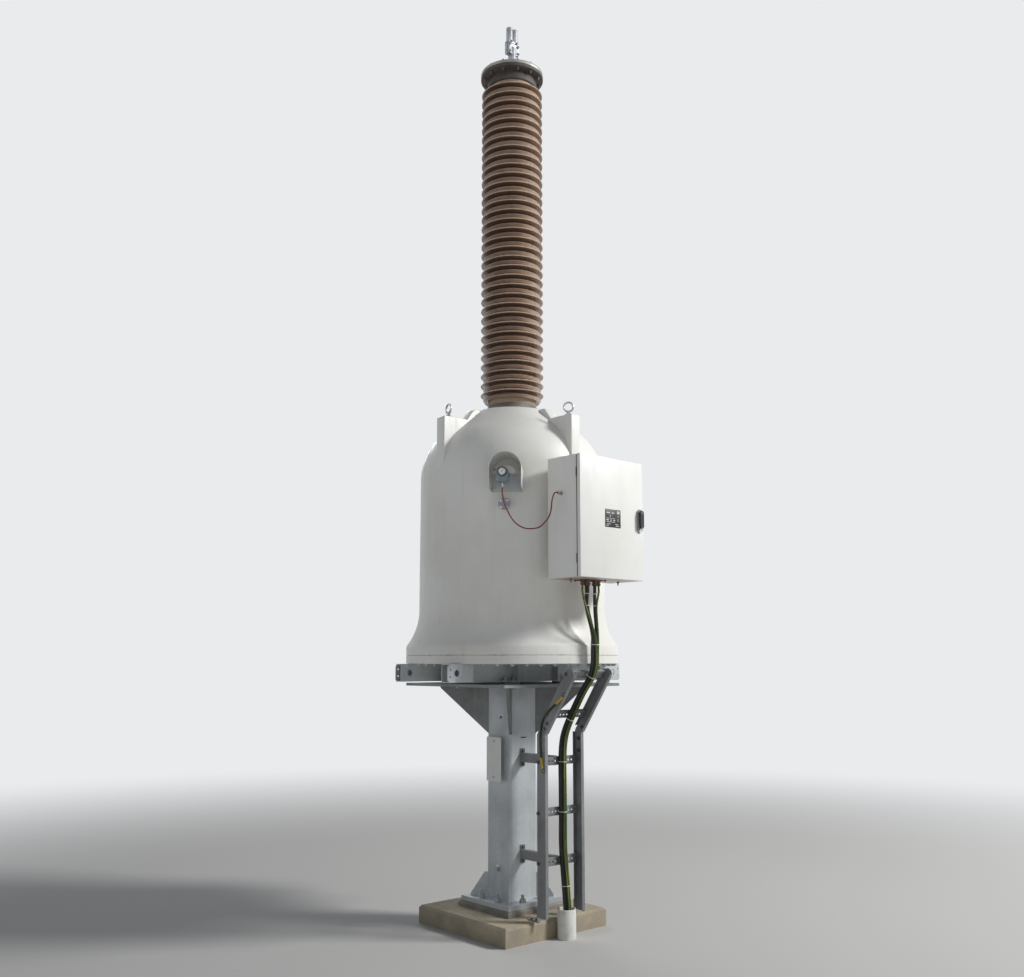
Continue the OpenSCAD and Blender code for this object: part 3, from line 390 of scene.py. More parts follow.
# Plastics, rubber, insulation and printed plates: even colours with a low sheen, bleached by the sun
DIAL_WHITE = moulded_plastic("printed_white_dial", "F0F0EC", "E2E1DA", 0.4, 0.0008, 0.00001)
RUBBER = moulded_plastic("black_sealing_rubber", "191919", "2B2A29", 0.62)
SHEATH = moulded_plastic("black_cable_sheath", "1C1C1B", "34332F", 0.42, 0.0015, 0.00004)
GREEN = moulded_plastic("green_wire_insulation", "3D5526", "4B6234", 0.45)
DARK_GREEN = moulded_plastic("dark_bonding_sheath", "262B20", "353A2D", 0.45)
YELLOW = moulded_plastic("yellow_wire_insulation", "A9AC3F", "99994A", 0.45)
SLEEVE_AND_LIT_TOP = moulded_plastic("olive_sleeve_and_lit_top", "8A8A3A", "77783A", 0.45)
TAPE = moulded_plastic("yellow_tape", "CDB52F", "B8A241", 0.4)
NYLON = moulded_plastic("white_nylon_ties", "E9E7DF", "D6D2C6", 0.4)
LEAD_RED = moulded_plastic("dark_red_lead_sheath", "7E2E30", "8F4744", 0.42, 0.001, 0.00003)
HANDLE_BLACK = moulded_plastic("black_polyamide_handle", "1B1C1D", "303133", 0.46, 0.0008, 0.00008)
PLATE_DARK = moulded_plastic("anodised_dark_plate", "2A2B2D", "3C3D3E", 0.38)
PLATE_CELL = moulded_plastic("pale_plate_cells", "C9C9C2", "B5B4AC", 0.45)
MARKER_AND_LIT_PATCH = moulded_plastic("grey_marker_and_lit_patch", "B9B5AC", "A5A198", 0.5)
DUCT = moulded_plastic("white_duct_plastic", "ECEBE4", "DAD7CB", 0.4)

# Clear glass with a faint film
GLASS = clear_glass("gauge_glass")

# The solids that stay as they are, each with its finish
for material, nodes in (
    (CONCRETE, "plinth"),
    (GROUT, "grout_pad"),
    (ZINC, "base_plate foot_gussets post frame_channels frame_end_plates"),
    (ZINC_DULL, "head_plate head_gussets frame_packers ladder_rails upper_rails ladder_brackets ladder_splices"),
    (TANK_PAINT, "cabinet_brackets"),
    (HINGE_STEEL, "cabinet_hinges door_hinges"),
):
    for node in nodes.split():
        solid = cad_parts[node]
        solid.data.materials.clear()
        solid.data.materials.append(material)


# Modelling by hand: what the operators need around them
def deselect():
    bpy.ops.object.select_all(action="DESELECT")


def choose(piece):
    """Selects this piece alone and makes it the active one."""
    deselect()
    piece.select_set(True)
    bpy.context.view_layer.objects.active = piece


def work_on(piece):
    """Enters edit mode on this piece alone, with everything in it selected."""
    choose(piece)
    bpy.ops.object.mode_set(mode="EDIT")
    bpy.ops.mesh.select_all(action="SELECT")


def leave():
    bpy.ops.object.mode_set(mode="OBJECT")


def apply_place():
    bpy.ops.object.transform_apply(location=True, rotation=True, scale=True)


def looks(*ways):
    """A test for faces that look along one of these ways."""
    return lambda middle, normal: any(normal.dot(Vector(way)) > 0.9 for way in ways)


def pick_faces(piece, test):
    """In edit mode, selects the faces whose middle and normal pass the test."""
    bpy.ops.mesh.select_mode(type="FACE")
    bpy.ops.mesh.select_all(action="DESELECT")
    bpy.ops.object.mode_set(mode="OBJECT")
    for face in piece.data.polygons:
        face.select = bool(test(face.center, face.normal))
    bpy.ops.object.mode_set(mode="EDIT")


def inset(piece, way, thicknesses, push=None):
    """Insets the faces that look along way, once per thickness, and pushes what is left in the middle."""
    work_on(piece)
    pick_faces(piece, looks(way))
    for thickness in thicknesses:
        bpy.ops.mesh.inset(thickness=thickness)
    if push:
        bpy.ops.transform.translate(value=push)
    leave()


def outward():
    """In edit mode, turns the normals of all faces outwards."""
    bpy.ops.mesh.select_all(action="SELECT")
    bpy.ops.mesh.normals_make_consistent(inside=False)


def trace(name, points):
    """A line through the points: a small plane merged to one corner, extruded from point to point."""
    deselect()
    bpy.ops.mesh.primitive_plane_add(size=0.001, location=points[0])
    piece = bpy.context.object
    piece.name = piece.data.name = name
    bpy.ops.object.mode_set(mode="EDIT")
    bpy.ops.mesh.select_mode(type="VERT")
    bpy.ops.mesh.select_all(action="SELECT")
    bpy.ops.mesh.merge(type="CENTER")
    for here, there in zip(points, points[1:]):
        step = [b - a for a, b in zip(here, there)]
        bpy.ops.mesh.extrude_vertices_move(TRANSFORM_OT_translate={"value": step})
    leave()
    apply_place()
    return piece


def spun(name, profile, steps, base=0.0, centre=(0, 0)):
    """Turned shape: an outline of radii and heights above base, spun once round the upright through centre."""
    piece = trace(name, [(centre[0] + r, centre[1], base + h) for r, h in profile])
    work_on(piece)
    bpy.ops.mesh.spin(steps=steps, angle=2 * pi, center=(centre[0], centre[1], 0), axis=(0, 0, 1))
    bpy.ops.mesh.select_all(action="SELECT")
    bpy.ops.mesh.remove_doubles(threshold=0.00002)
    bpy.ops.mesh.normals_make_consistent(inside=False)
    leave()
    return piece


def slab(name, outline, thickness):
    """Flat outline filled and extruded by the thickness vector."""
    piece = trace(name, list(outline) + [outline[0]])
    work_on(piece)
    bpy.ops.mesh.remove_doubles(threshold=0.00001)
    bpy.ops.mesh.edge_face_add()
    bpy.ops.mesh.extrude_region_move(TRANSFORM_OT_translate={"value": thickness})
    outward()
    leave()
    return piece


def block(name, low, high):
    """A cuboid between two corners, to be shaped further."""
    deselect()
    bpy.ops.mesh.primitive_cube_add(size=1, location=[(a + b) / 2 for a, b in zip(low, high)])
    piece = bpy.context.object
    piece.name = piece.data.name = name
    piece.scale = [b - a for a, b in zip(low, high)]
    apply_place()
    return piece


def upright(name, radius, low, high, sides=6):
    """A hexagon bar, or one with more sides, upright on the origin between two heights."""
    deselect()
    bpy.ops.mesh.primitive_cylinder_add(
        vertices=sides, radius=radius, depth=high - low, location=(0, 0, (low + high) / 2))
    piece = bpy.context.object
    piece.name = piece.data.name = name
    apply_place()
    return piece


def apply_modifier(piece, kind, **settings):
    """Adds a modifier with its settings and applies it."""
    choose(piece)
    modifier = piece.modifiers.new("shape", kind)
    for key, value in settings.items():
        setattr(modifier, key, value)
    bpy.ops.object.modifier_apply(modifier=modifier.name)


def soften(piece, width, segments=2, angle=32):
    """Rounds the edges sharper than angle."""
    apply_modifier(
        piece, "BEVEL", width=width, segments=segments, limit_method="ANGLE", angle_limit=radians(angle))


def cut(piece, tool):
    """Takes the tool's shape out of the piece."""
    apply_modifier(piece, "BOOLEAN", object=tool, operation="DIFFERENCE", solver="EXACT")


def finish_piece(piece, material, body="unit", stands_for=(), smooth=32):
    """Shading, finish and body of a finished piece whose place is in its mesh."""
    choose(piece)
    apply_place()
    bpy.ops.object.shade_smooth_by_angle(angle=radians(smooth))
    if material:
        piece.data.materials.clear()
        piece.data.materials.append(material)
    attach(piece, body)
    if stands_for:
        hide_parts(*stands_for)


def join(name, parts):
    """Makes one piece of several, or names a single one."""
    deselect()
    for part in parts:
        part.select_set(True)
    bpy.context.view_layer.objects.active = parts[0]
    if len(parts) > 1:
        bpy.ops.object.join()
    parts[0].name = parts[0].data.name = name
    return parts[0]


def move_to(x, y, z):
    return Matrix.Translation((x, y, z))


def facing(point, direction, turn=0.0):
    """Where a copy goes that was modelled at the origin looking up: at point, looking along direction."""
    quarter = Vector(direction).to_track_quat("Z", "Y").to_matrix().to_4x4()
    return Matrix.Translation(point) @ quarter @ Matrix.Rotation(turn, 4, "Z")


def set_out(name, model, places, keep_model=False):
    """One copy of the model at each place, each with its own mesh, joined into one piece."""
    parts = []
    for place in places:
        part = model.copy()
        part.data = model.data.copy()
        part.data.transform(place)
        bpy.context.scene.collection.objects.link(part)
        parts.append(part)
    piece = join(name, parts)
    if not keep_model:
        bpy.data.objects.remove(model)
    return piece


def round_points(middle, radius, start, end, steps):
    """Points of an arc in a plane, in degrees."""
    return [(middle[0] + radius * cos(radians(start + (end - start) * i / steps)),
             middle[1] + radius * sin(radians(start + (end - start) * i / steps))) for i in range(steps + 1)]


def hex_bolt(name, across, height, stud=0.0, washer=0.0):
    """A hexagon head, across its flats, looking up from its seat: crowned corners, a washer below, the
    stud's end on top."""
    radius = across / sqrt(3)
    bolt = upright(name, radius, washer, washer + height)
    work_on(bolt)
    pick_faces(bolt, looks(UP))
    bpy.ops.mesh.inset(thickness=radius * 0.12)
    bpy.ops.transform.translate(value=(0, 0, height * 0.12))
    if stud:
        bpy.ops.mesh.inset(thickness=radius * 0.30)
        bpy.ops.mesh.extrude_region_move(TRANSFORM_OT_translate={"value": (0, 0, stud)})
        bpy.ops.mesh.inset(thickness=radius * 0.10)
        bpy.ops.transform.translate(value=(0, 0, radius * 0.08))
    leave()
    if not washer:
        return bolt
    ring = upright("washer", radius * 1.25, 0, washer, 16)
    inset(ring, UP, [washer * 0.4], (0, 0, washer * 0.15))
    return join(name, [bolt, ring])


def tube(name, points, radius, resolution=4, rings=4):
    """A cable: one smooth line through the points, round in section and closed at its ends, as a mesh."""
    data = bpy.data.curves.new(name, "CURVE")
    data.dimensions = "3D"
    data.resolution_u = rings
    data.bevel_depth = radius
    data.bevel_resolution = resolution
    data.use_fill_caps = True
    spline = data.splines.new("BEZIER")
    spline.bezier_points.add(len(points) - 1)
    for i, knot in enumerate(spline.bezier_points):
        step = (points[min(i + 1, len(points) - 1)] - points[max(i - 1, 0)]) / 6
        knot.co = points[i]
        knot.handle_left_type = knot.handle_right_type = "FREE"
        knot.handle_left = points[i] - step
        knot.handle_right = points[i] + step
    cable = bpy.data.objects.new(name, data)
    bpy.context.scene.collection.objects.link(cable)
    choose(cable)
    bpy.ops.object.convert(target="MESH")
    cable = bpy.context.object
    cable.name = cable.data.name = name
    return cable


def curve_part(points, i):
    """Twice the factors of the smooth curve from knot i to the next, for the powers 0 to 3 of its share t."""
    last = len(points) - 1
    a, b, c, d = points[max(i - 1, 0)], points[i], points[i + 1], points[min(i + 2, last)]
    return 2 * b, c - a, 2 * a - 5 * b + 4 * c - d, 3 * b - a - 3 * c + d


def along(points, height):
    """Where a route passes a height, and the way it goes there."""
    for i in range(len(points) - 1):
        low, high = sorted((points[i].z, points[i + 1].z))
        if low <= height <= high:
            start, slope, bend, twist = curve_part(points, i)
            t = (height - points[i].z) / (points[i + 1].z - points[i].z)
            for _ in range(8):
                p = (start + slope * t + bend * t * t + twist * t**3) / 2
                v = (slope + 2 * bend * t + 3 * twist * t * t) / 2
                t = min(1.0, max(0.0, t + (height - p.z) / v.z))
            return p, v.normalized()
    raise ValueError(height)


# Hanging lead from the gauge's gland to the gland on the cabinet's side
GAUGE_OUTLET = Vector((-0.637810, -0.627910, 2.917553))
CABINET_OUTLET = Vector((-0.336, -0.830, 2.893553))
LEAD_R = 0.0045
LEAD_ROUTE = [GAUGE_OUTLET + Vector(p) / 1000 for p in (
    (0, 0, 0), (0, 0, -40), (10, -8, -100), (26, -18, -145), (46, -30, -190),
    (76, -48, -232), (114, -72, -258), (156, -96, -265),
)] + [CABINET_OUTLET + Vector(p) / 1000 for p in (
    (-104, 70, -232), (-72, 46, -198), (-50, 28, -158), (-40, 20, -112),
    (-38, 14, -64), (-34, 6, -26), (-22, 1, -4), (0, 0, 0),
)]
gauge_lead = tube("lead_sheath", LEAD_ROUTE, LEAD_R, 5, 10)
bpy.ops.object.shade_smooth_by_angle(angle=radians(50))
gauge_lead.data.materials.append(LEAD_RED)
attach(gauge_lead, "unit")
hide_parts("gauge_lead")

# Tank: bell, base ring, and four lugs whose cheeks are flush with the wall and run into the crown
LUG_Z = SHOULDER + 0.390
CONE_HIGH = (0.335279, 3.584588)
QUARTERS = [Matrix.Rotation(radians(a), 4, "Z") for a in (0, 90, 180, 270)]


def tank_profile():
    """The bell from the split's middle out to the flange, up the wall and over the crown."""
    flare, shoulder, crown = 0.400, 0.420, 0.100
    flare_start = 180 + math.degrees(math.acos(0.316 / flare))
    rim = [(0.0, SPLIT), (0.60, SPLIT), (FLANGE_R - 0.003, SPLIT), (FLANGE_R, SPLIT + 0.003)]
    rim += [(FLANGE_R, RIM_TOP - 0.005), (FLANGE_R - 0.0015, RIM_TOP - 0.0015), (FLANGE_R - 0.004, RIM_TOP)]
    rim += round_points((TANK_R + flare, WALL_LOW), flare, flare_start, 180, 16)
    rim += round_points((TANK_R - shoulder, SHOULDER), shoulder, 0, 50, 18)
    rim += round_points((0.271, TANK_TOP - crown), crown, 50, 90, 9)
    return rim + [(0.0, TANK_TOP)]


def tank_lug():
    """One lifting lug's cheek, flush with the wall outside and run into the crown inside."""
    foot, ledge = SHOULDER - 0.03, LUG_Z + 0.0855
    outline = [(CONE_HIGH[0] - 0.06, foot), (TANK_R - 0.0012, foot)]
    outline += round_points((TANK_R - 0.0152, LUG_Z - 0.014), 0.014, 0, 90, 5)
    outline += [(0.475, LUG_Z + 0.0025), (0.460, LUG_Z), (0.402, LUG_Z + 0.077), (0.388, ledge)]
    outline += [(CONE_HIGH[0] + 0.030, ledge), CONE_HIGH]
    lug = slab("tank_lug", [(r, -0.0425, z) for r, z in outline], (0, 0.085, 0))
    soften(lug, 0.006, 3, 40)
    return lug


tank_shell = spun("tank_shell", tank_profile(), 144)
lugs = set_out("tank_lugs", tank_lug(), QUARTERS)
finish_piece(tank_shell, TANK_PAINT, stands_for=["tank_bell"], smooth=28)
finish_piece(lugs, TANK_PAINT, smooth=34)

base_ring = spun("tank_base_ring", [
    (0, FRAME_TOP), (FLANGE_R - 0.004, FRAME_TOP), (FLANGE_R, FRAME_TOP + 0.004), (FLANGE_R, SPLIT - 0.0035),
    (FLANGE_R - 0.0025, SPLIT - 0.0012), (0.60, SPLIT - 0.001), (0, SPLIT - 0.001)], 144)
finish_piece(base_ring, TANK_PAINT, stands_for=["tank_base"], smooth=28)

# Clamping bolts of the split, their heads under the base flange, none where the frame's channels are
FLANGE_BOLT_CIRCLE = 0.728
FLANGE_BOLTS = 48
CHANNEL_NEAR, CHANNEL_FAR = 0.195, 0.312
flange_bolt = hex_bolt("flange_bolt", 0.024, 0.011, washer=0.003)
places = []
for i in range(FLANGE_BOLTS):
    a = radians(360 / FLANGE_BOLTS * (i + 0.5))
    x, y = FLANGE_BOLT_CIRCLE * cos(a), FLANGE_BOLT_CIRCLE * sin(a)
    if not CHANNEL_NEAR < abs(y) < CHANNEL_FAR:
        places.append(facing((x, y, FRAME_TOP), DOWN, a * 3.1))
finish_piece(set_out("flange_bolts", flange_bolt, places), ZINC_BOLT)

# Bushing: iron flange, porcelain, cap and terminal
bushing_foot = spun("bushing_foot", [
    (0.10, 0), (0.181, 0), (0.184, 0.003), (0.184, 0.052), (0.181, 0.057), (0.172, 0.057), (0.166, 0.054),
    (0.10, 0.054)], 72, TANK_TOP)
finish_piece(bushing_foot, CAST_GREY, stands_for=["bushing_flange"])

# One pitch of the porcelain: the small shed with its steep face, then the large one with its drip edge, with
# heights from the edge of the lowest large shed
SHED_PITCH = 0.0723
SHED_PAIRS = 34
FIRST_SHED = PORCELAIN_LOW + 0.088
shed_pairs = spun("porcelain_sheds", [
    (0.1665, -0.0502), (0.176, -0.0510), (0.190, -0.0528), (0.1995, -0.0548), (0.2035, -0.0538), (0.2062, -0.0500),
    (0.2118, -0.0405), (0.2148, -0.0372), (0.216, -0.0352), (0.2148, -0.0326), (0.210, -0.0308), (0.190, -0.0255),
    (0.174, -0.0205), (0.1665, -0.0165),
    (0.1665, -0.0085), (0.172, -0.0052), (0.181, -0.0032), (0.2255, -0.0040), (0.2295, -0.0044), (0.2328, -0.0028),
    (0.234, 0), (0.2328, 0.0026), (0.228, 0.0052), (0.190, 0.0105), (0.174, 0.0175), (0.1665, 0.0215),
], 80, FIRST_SHED)
apply_modifier(
    shed_pairs, "ARRAY", count=SHED_PAIRS, use_relative_offset=False, use_constant_offset=True,
    constant_offset_displace=(0, 0, SHED_PITCH), use_merge_vertices=False)
CORE_R = 0.1655
core = spun("core", [(0.10, PORCELAIN_LOW), (CORE_R, PORCELAIN_LOW), (CORE_R, NECK_LOW), (0.10, NECK_LOW)], 72)
finish_piece(join("porcelain_body", [shed_pairs, core]), GLAZE, stands_for=["porcelain"], smooth=40)

collar = spun("porcelain_collar", [
    (0.1650, -0.002), (0.1735, 0), (0.1765, 0.006), (0.1750, 0.046), (0.1700, 0.052), (0.1650, 0.053),
], 72, PORCELAIN_LOW)
finish_piece(collar, CEMENT)

neck = spun("bushing_neck_ring", [
    (0.10, 0), (0.184, 0.0215), (0.1875, 0.023), (0.190, 0.027), (0.190, 0.060), (0.186, 0.070), (0.182, 0.096),
    (0.10, 0.096)], 72, NECK_LOW)
cement = spun("neck_cement", [
    (0.10, 0), (0.172, 0), (0.1745, 0.004), (0.175, 0.021), (0.10, 0.0212)], 72, NECK_LOW)
finish_piece(neck, CAST_DARK, stands_for=["bushing_neck"])
finish_piece(cement, CEMENT)

clamp_ring = spun("cap_clamp_ring", [
    (0.10, 0), (0.236, 0), (0.2395, 0.0015), (0.241, 0.005), (0.241, 0.0205), (0.2395, 0.0235), (0.2385, 0.0238),
    (0.2385, 0.0252), (0.10, 0.0252)], 96, CAP_LOW)
finish_piece(clamp_ring, CAST_DARK, stands_for=["bushing_cap"])
cover = spun("cap_cover", [
    (0.0, 0.0254), (0.2385, 0.0254), (0.2398, 0.0258), (0.241, 0.0290), (0.241, 0.0455), (0.2395, 0.0488),
    (0.236, 0.050), (0.0, 0.050)], 96, CAP_LOW)
finish_piece(cover, CAP_METAL, stands_for=["bushing_cap"])

CAP_BOLT_CIRCLE = 0.213
spots = [(CAP_BOLT_CIRCLE * cos(radians(a)), CAP_BOLT_CIRCLE * sin(radians(a)), a) for a in range(0, 360, 30)]
cap_bolt = hex_bolt("cap_bolt", 0.019, 0.010, stud=0.009, washer=0.002)
below = set_out("cap_bolts", cap_bolt, [facing((x, y, CAP_LOW), DOWN, a) for x, y, a in spots], keep_model=True)
finish_piece(below, DARK_BOLT)
above = set_out("cap_top_nuts", cap_bolt, [facing((x, y, TERMINAL_LOW), UP, a) for x, y, a in spots])
finish_piece(above, DARK_BOLT)

stem = spun("terminal_pin", [
    (0.0, 0), (0.046, 0), (0.048, 0.002), (0.047, 0.006), (0.040, 0.0085), (0.039, 0.015), (0.036, 0.0165),
    (0.0305, 0.017), (0.030, 0.020), (0.030, 0.231), (0.0275, 0.2338), (0.0, 0.234)], 56, TERMINAL_LOW)
finish_piece(stem, ALUMINIUM, stands_for=["terminal_stem"])

# Conductor clamp: bored sleeves on a bridge, and a keeper bolted across the stem
CLAMP_LOW = TERMINAL_LOW + 0.174
BRIDGE_TOP = CLAMP_LOW + 0.106
CLAMP_SIDE = 0.052
SLEEVES = (-0.027, 0.027)
sleeve = spun("clamp_sleeve", [
    (0.0, 0.106), (0.024, 0.106), (0.025, 0.1075), (0.025, 0.216), (0.0225, 0.219), (0.0185, 0.219), (0.016, 0.2165),
    (0.016, 0.109), (0.0, 0.109)], 40, CLAMP_LOW)
sleeves = set_out("conductor_sleeves", sleeve, [move_to(x, 0, 0) for x in SLEEVES])
finish_piece(sleeves, ALUMINIUM, stands_for=["clamp_sleeves"])
bridge = block("clamp_bridge", (-CLAMP_SIDE, 0.0, CLAMP_LOW), (CLAMP_SIDE, 0.026, BRIDGE_TOP))
work_on(bridge)
bpy.ops.mesh.bisect(plane_co=(0, 0, CLAMP_LOW + 0.090), plane_no=(0, 0, 1), clear_inner=False, clear_outer=False)
pick_faces(bridge, lambda middle, normal: normal.y < -0.9 and middle.z > CLAMP_LOW + 0.09)
bpy.ops.mesh.extrude_region_move(TRANSFORM_OT_translate={"value": (0, -0.026, 0)})
leave()
keeper = block("clamp_cover", (-CLAMP_SIDE, -0.026, CLAMP_LOW), (CLAMP_SIDE, -0.004, CLAMP_LOW + 0.086))
inset(keeper, FRONT, [0.012], (0, 0.003, 0))
shaft = spun("shaft_cut", [(0.0, -0.02), (0.0302, -0.02), (0.0302, 0.0602), (0.0, 0.0602)], 48, CLAMP_LOW)
for part in (bridge, keeper):
    soften(part, 0.003)
    cut(part, shaft)
bpy.data.objects.remove(shaft)
finish_piece(bridge, ALUMINIUM, stands_for=["line_clamp"])
finish_piece(keeper, ALUMINIUM, stands_for=["clamp_keeper"])
clamp_bolt = hex_bolt("clamp_bolt", 0.017, 0.008, stud=0.003, washer=0.002)
places = [facing((x, -0.026, CLAMP_LOW + h), FRONT, h * 40) for x in (-0.042, 0.042) for h in (0.014, 0.072)]
places += [facing((x, -0.026, CLAMP_LOW + 0.098), FRONT, 0.4 + x) for x in SLEEVES]
finish_piece(set_out("clamp_bolts", clamp_bolt, places), ZINC_BOLT)


# Lifting eyes: forged ring, tapered neck and collar
def lifting_eye():
    """An eye on its foot, the ring drawn wide where it grows out of the neck."""
    foot = spun("eye_foot", [
        (0.0, 0.0), (0.028, 0.0), (0.030, 0.002), (0.030, 0.008), (0.028, 0.010), (0.0225, 0.0105), (0.016, 0.016),
        (0.0115, 0.024), (0.010, 0.0295), (0.0, 0.030)], 40)
    deselect()
    bpy.ops.mesh.primitive_torus_add(
        location=(0, 0, 0.062), rotation=(0, pi / 2, 0), major_radius=0.033, minor_radius=0.007,
        major_segments=48, minor_segments=14)
    ring = bpy.context.object
    apply_place()
    work_on(ring)
    pick_faces(ring, lambda middle, normal: middle.z < 0.036)
    bpy.ops.transform.resize(value=(1.35, 1.0, 1.0), center_override=(0, 0, 0.03))
    leave()
    return join("lifting_eye", [foot, ring])


# Each eye is screwed tight at the turn where it came to a stop
EYE_REACH = 0.597
EYE_TURNS = (20, 100, -9, -45)
places = [quarter @ move_to(EYE_REACH, 0, LUG_Z + 0.0015) @ Matrix.Rotation(radians(turn), 4, "Z")
          for quarter, turn in zip(QUARTERS, EYE_TURNS)]
finish_piece(set_out("forged_lifting_eyes", lifting_eye(), places), STAINLESS, stands_for=["lifting_eyes"])


# Cabinet: folded and welded sheet, its door a shallow tray
def opened_box(name, low, high, way, rim):
    """A sheet box that is open on the side that looks along way, inside a rim."""
    box = block(name, low, high)
    work_on(box)
    pick_faces(box, looks(way))
    bpy.ops.mesh.inset(thickness=rim)
    bpy.ops.mesh.delete(type="FACE")
    leave()
    apply_modifier(box, "SOLIDIFY", thickness=0.003, offset=-1)
    soften(box, 0.0022, 3, 40)
    return box


cabinet = opened_box(
    "cabinet_shell", (-CABINET_SIDE, CABINET_FRONT, CABINET_LOW), (CABINET_SIDE, CABINET_BACK, CABINET_TOP),
    FRONT, 0.026)
finish_piece(cabinet, CABINET_PAINT, stands_for=["cabinet_body"])
door = opened_box(
    "door_leaf", (-CABINET_SIDE, DOOR_FRONT, CABINET_LOW), (CABINET_SIDE, DOOR_BACK, CABINET_TOP), BACK, 0.015)
finish_piece(door, CABINET_PAINT, "door", stands_for=["cabinet_door"])

# Two studs under the cabinet, as the solid has
stud = spun("cabinet_stud", [(0, -0.024), (0.0032, -0.024), (0.004, -0.0225), (0.004, 0.0), (0, 0)], 20)
nut = hex_bolt("stud_nut", 0.013, 0.0065, washer=0.0016)
nut.data.transform(facing((0, 0, 0), DOWN))
stud = join("cabinet_stud", [stud, nut])
studs = set_out("cabinet_studs", stud, [move_to(x, GLAND_Y, CABINET_LOW) for x in (-0.21, 0.24)])
finish_piece(studs, RUSTY_PLATE)

# Inside: a mounting plate, two rails of terminals and slotted wiring ducts, seen when the door is open
PLATE_FACE = CABINET_BACK - 0.012
RAIL_FACE = PLATE_FACE - 0.010
TERMINAL_RAILS = (CABINET_LOW + 0.30, CABINET_LOW + 0.58)
WIRING_DUCTS = (CABINET_LOW + 0.165, CABINET_LOW + 0.44, CABINET_LOW + 0.70)
plate = block(
    "mounting_plate", (-0.262, PLATE_FACE - 0.0025, CABINET_LOW + 0.045), (0.262, PLATE_FACE, CABINET_TOP - 0.045))
work_on(plate)
pick_faces(plate, looks(UP, DOWN))
bpy.ops.mesh.extrude_region_move(TRANSFORM_OT_translate={"value": (0, -0.010, 0)})
leave()
soften(plate, 0.001)
finish_piece(plate, ZINC)
terminal = block("terminal_block", (-0.0026, -0.046, -0.028), (0.0026, 0.0, 0.028))
work_on(terminal)
pick_faces(terminal, looks(FRONT))
bpy.ops.mesh.inset(thickness=0.0007)
bpy.ops.transform.resize(value=(1, 1, 0.55), center_override=(0, -0.046, 0))
bpy.ops.mesh.extrude_region_move(TRANSFORM_OT_translate={"value": (0, 0.004, 0)})
leave()
# Every 21st place on a rail stays free
TERMINAL_PITCH = 0.0062
places = [move_to(-0.19 + TERMINAL_PITCH * i, RAIL_FACE, z) for z in TERMINAL_RAILS for i in range(62) if i % 21 != 20]
finish_piece(set_out("terminal_rows", terminal, places), NYLON)
rail = join("terminal_rails", [
    block("rail", (-0.225, RAIL_FACE, z - 0.0175), (0.225, PLATE_FACE - 0.0025, z + 0.0175)) for z in TERMINAL_RAILS])
soften(rail, 0.0012)
finish_piece(rail, ZINC_BOLT)
tooth = block("duct_tooth", (-0.0035, -0.050, -0.020), (0.0035, -0.002, 0.020))
soften(tooth, 0.0008, 1)
TOOTH_PITCH = 0.012
places = [move_to(-0.21 + TOOTH_PITCH * i, PLATE_FACE - 0.0025, z) for z in WIRING_DUCTS for i in range(36)]
ducts = [set_out("wiring_duct_fingers", tooth, places)]
for z in WIRING_DUCTS:
    lid = block("lid", (-0.222, PLATE_FACE - 0.058, z - 0.0225), (0.222, PLATE_FACE - 0.050, z + 0.0225))
    soften(lid, 0.0015)
    ducts.append(lid)
finish_piece(join("wiring_ducts", ducts), DUCT)


def sealing_strip(name, gap, front, back, width, rounding):
    """A strip round the cabinet's mouth, a gap inside its outline, with its front and back from the rim."""
    strip = block(
        name, (gap - CABINET_SIDE, CABINET_FRONT + front, CABINET_LOW + gap),
        (CABINET_SIDE - gap, CABINET_FRONT + back, CABINET_TOP - gap))
    work_on(strip)
    pick_faces(strip, looks(FRONT, BACK))
    bpy.ops.mesh.inset(thickness=width)
    bpy.ops.mesh.bridge_edge_loops()
    leave()
    soften(strip, rounding)
    return strip


# Gasket: a foamed strip round the opening. The black strip on the rim is painted shade: it makes the dark
# line of shade in the gap by the door.
gasket = sealing_strip("door_gasket", 0.017, -0.003, 0, 0.009, 0.0012)
finish_piece(gasket, RUBBER, stands_for=["cabinet_gasket"])
finish_piece(sealing_strip("door_gap_shade_strip", 0.0025, -0.0055, 0.001, 0.006, 0.0009), RUBBER)

# Door furniture: a keyed swing handle on its escutcheon, and a bare data plate with empty cells
HANDLE_X = 0.263
PIVOT_Z = 2.790553


def oblong(name, low, high, width, front, back):
    """A bar with round ends that lies on the door's face, under and over the handle's pivot."""
    r = width / 2
    outline = [(HANDLE_X + a, DOOR_FRONT + front, low + r + b) for a, b in round_points((0, 0), r, 180, 360, 10)]
    outline += [(HANDLE_X + a, DOOR_FRONT + front, high - r + b) for a, b in round_points((0, 0), r, 0, 180, 10)]
    return slab(name, outline, (0, back - front, 0))


# The escutcheon's grey is painted shadow of the handle
base = oblong("handle_escutcheon", PIVOT_Z - 0.131, PIVOT_Z + 0.027, 0.046, -0.012, 0)
inset(base, FRONT, [0.006], (0, 0.003, 0))
soften(base, 0.0018)
finish_piece(base, ESCUTCHEON_SHADOW_GREY, "door", stands_for=["handle_base"])
lever = oblong("handle_grip", PIVOT_Z - 0.104, PIVOT_Z + 0.017, 0.034, -0.031, -0.017)
inset(lever, FRONT, [0.005, 0.004], (0, 0.0028, 0))
soften(lever, 0.0025, 3)
boss = spun("handle_boss", [
    (0, -0.014), (0.013, -0.014), (0.013, -0.010), (0.0085, -0.008), (0.0078, 0.020), (0.0, 0.020)], 32)
boss.data.transform(facing((HANDLE_X, DOOR_FRONT, PIVOT_Z), FRONT))
lock = spun("handle_lock", [(0, 0), (0.0092, 0), (0.0092, 0.0008), (0.0082, 0.0014), (0.0, 0.0014)], 28)
slot = block("lock_slot", (-0.0011, -0.0045, 0.0004), (0.0011, 0.0045, 0.0018))
cut(lock, slot)
bpy.data.objects.remove(slot)
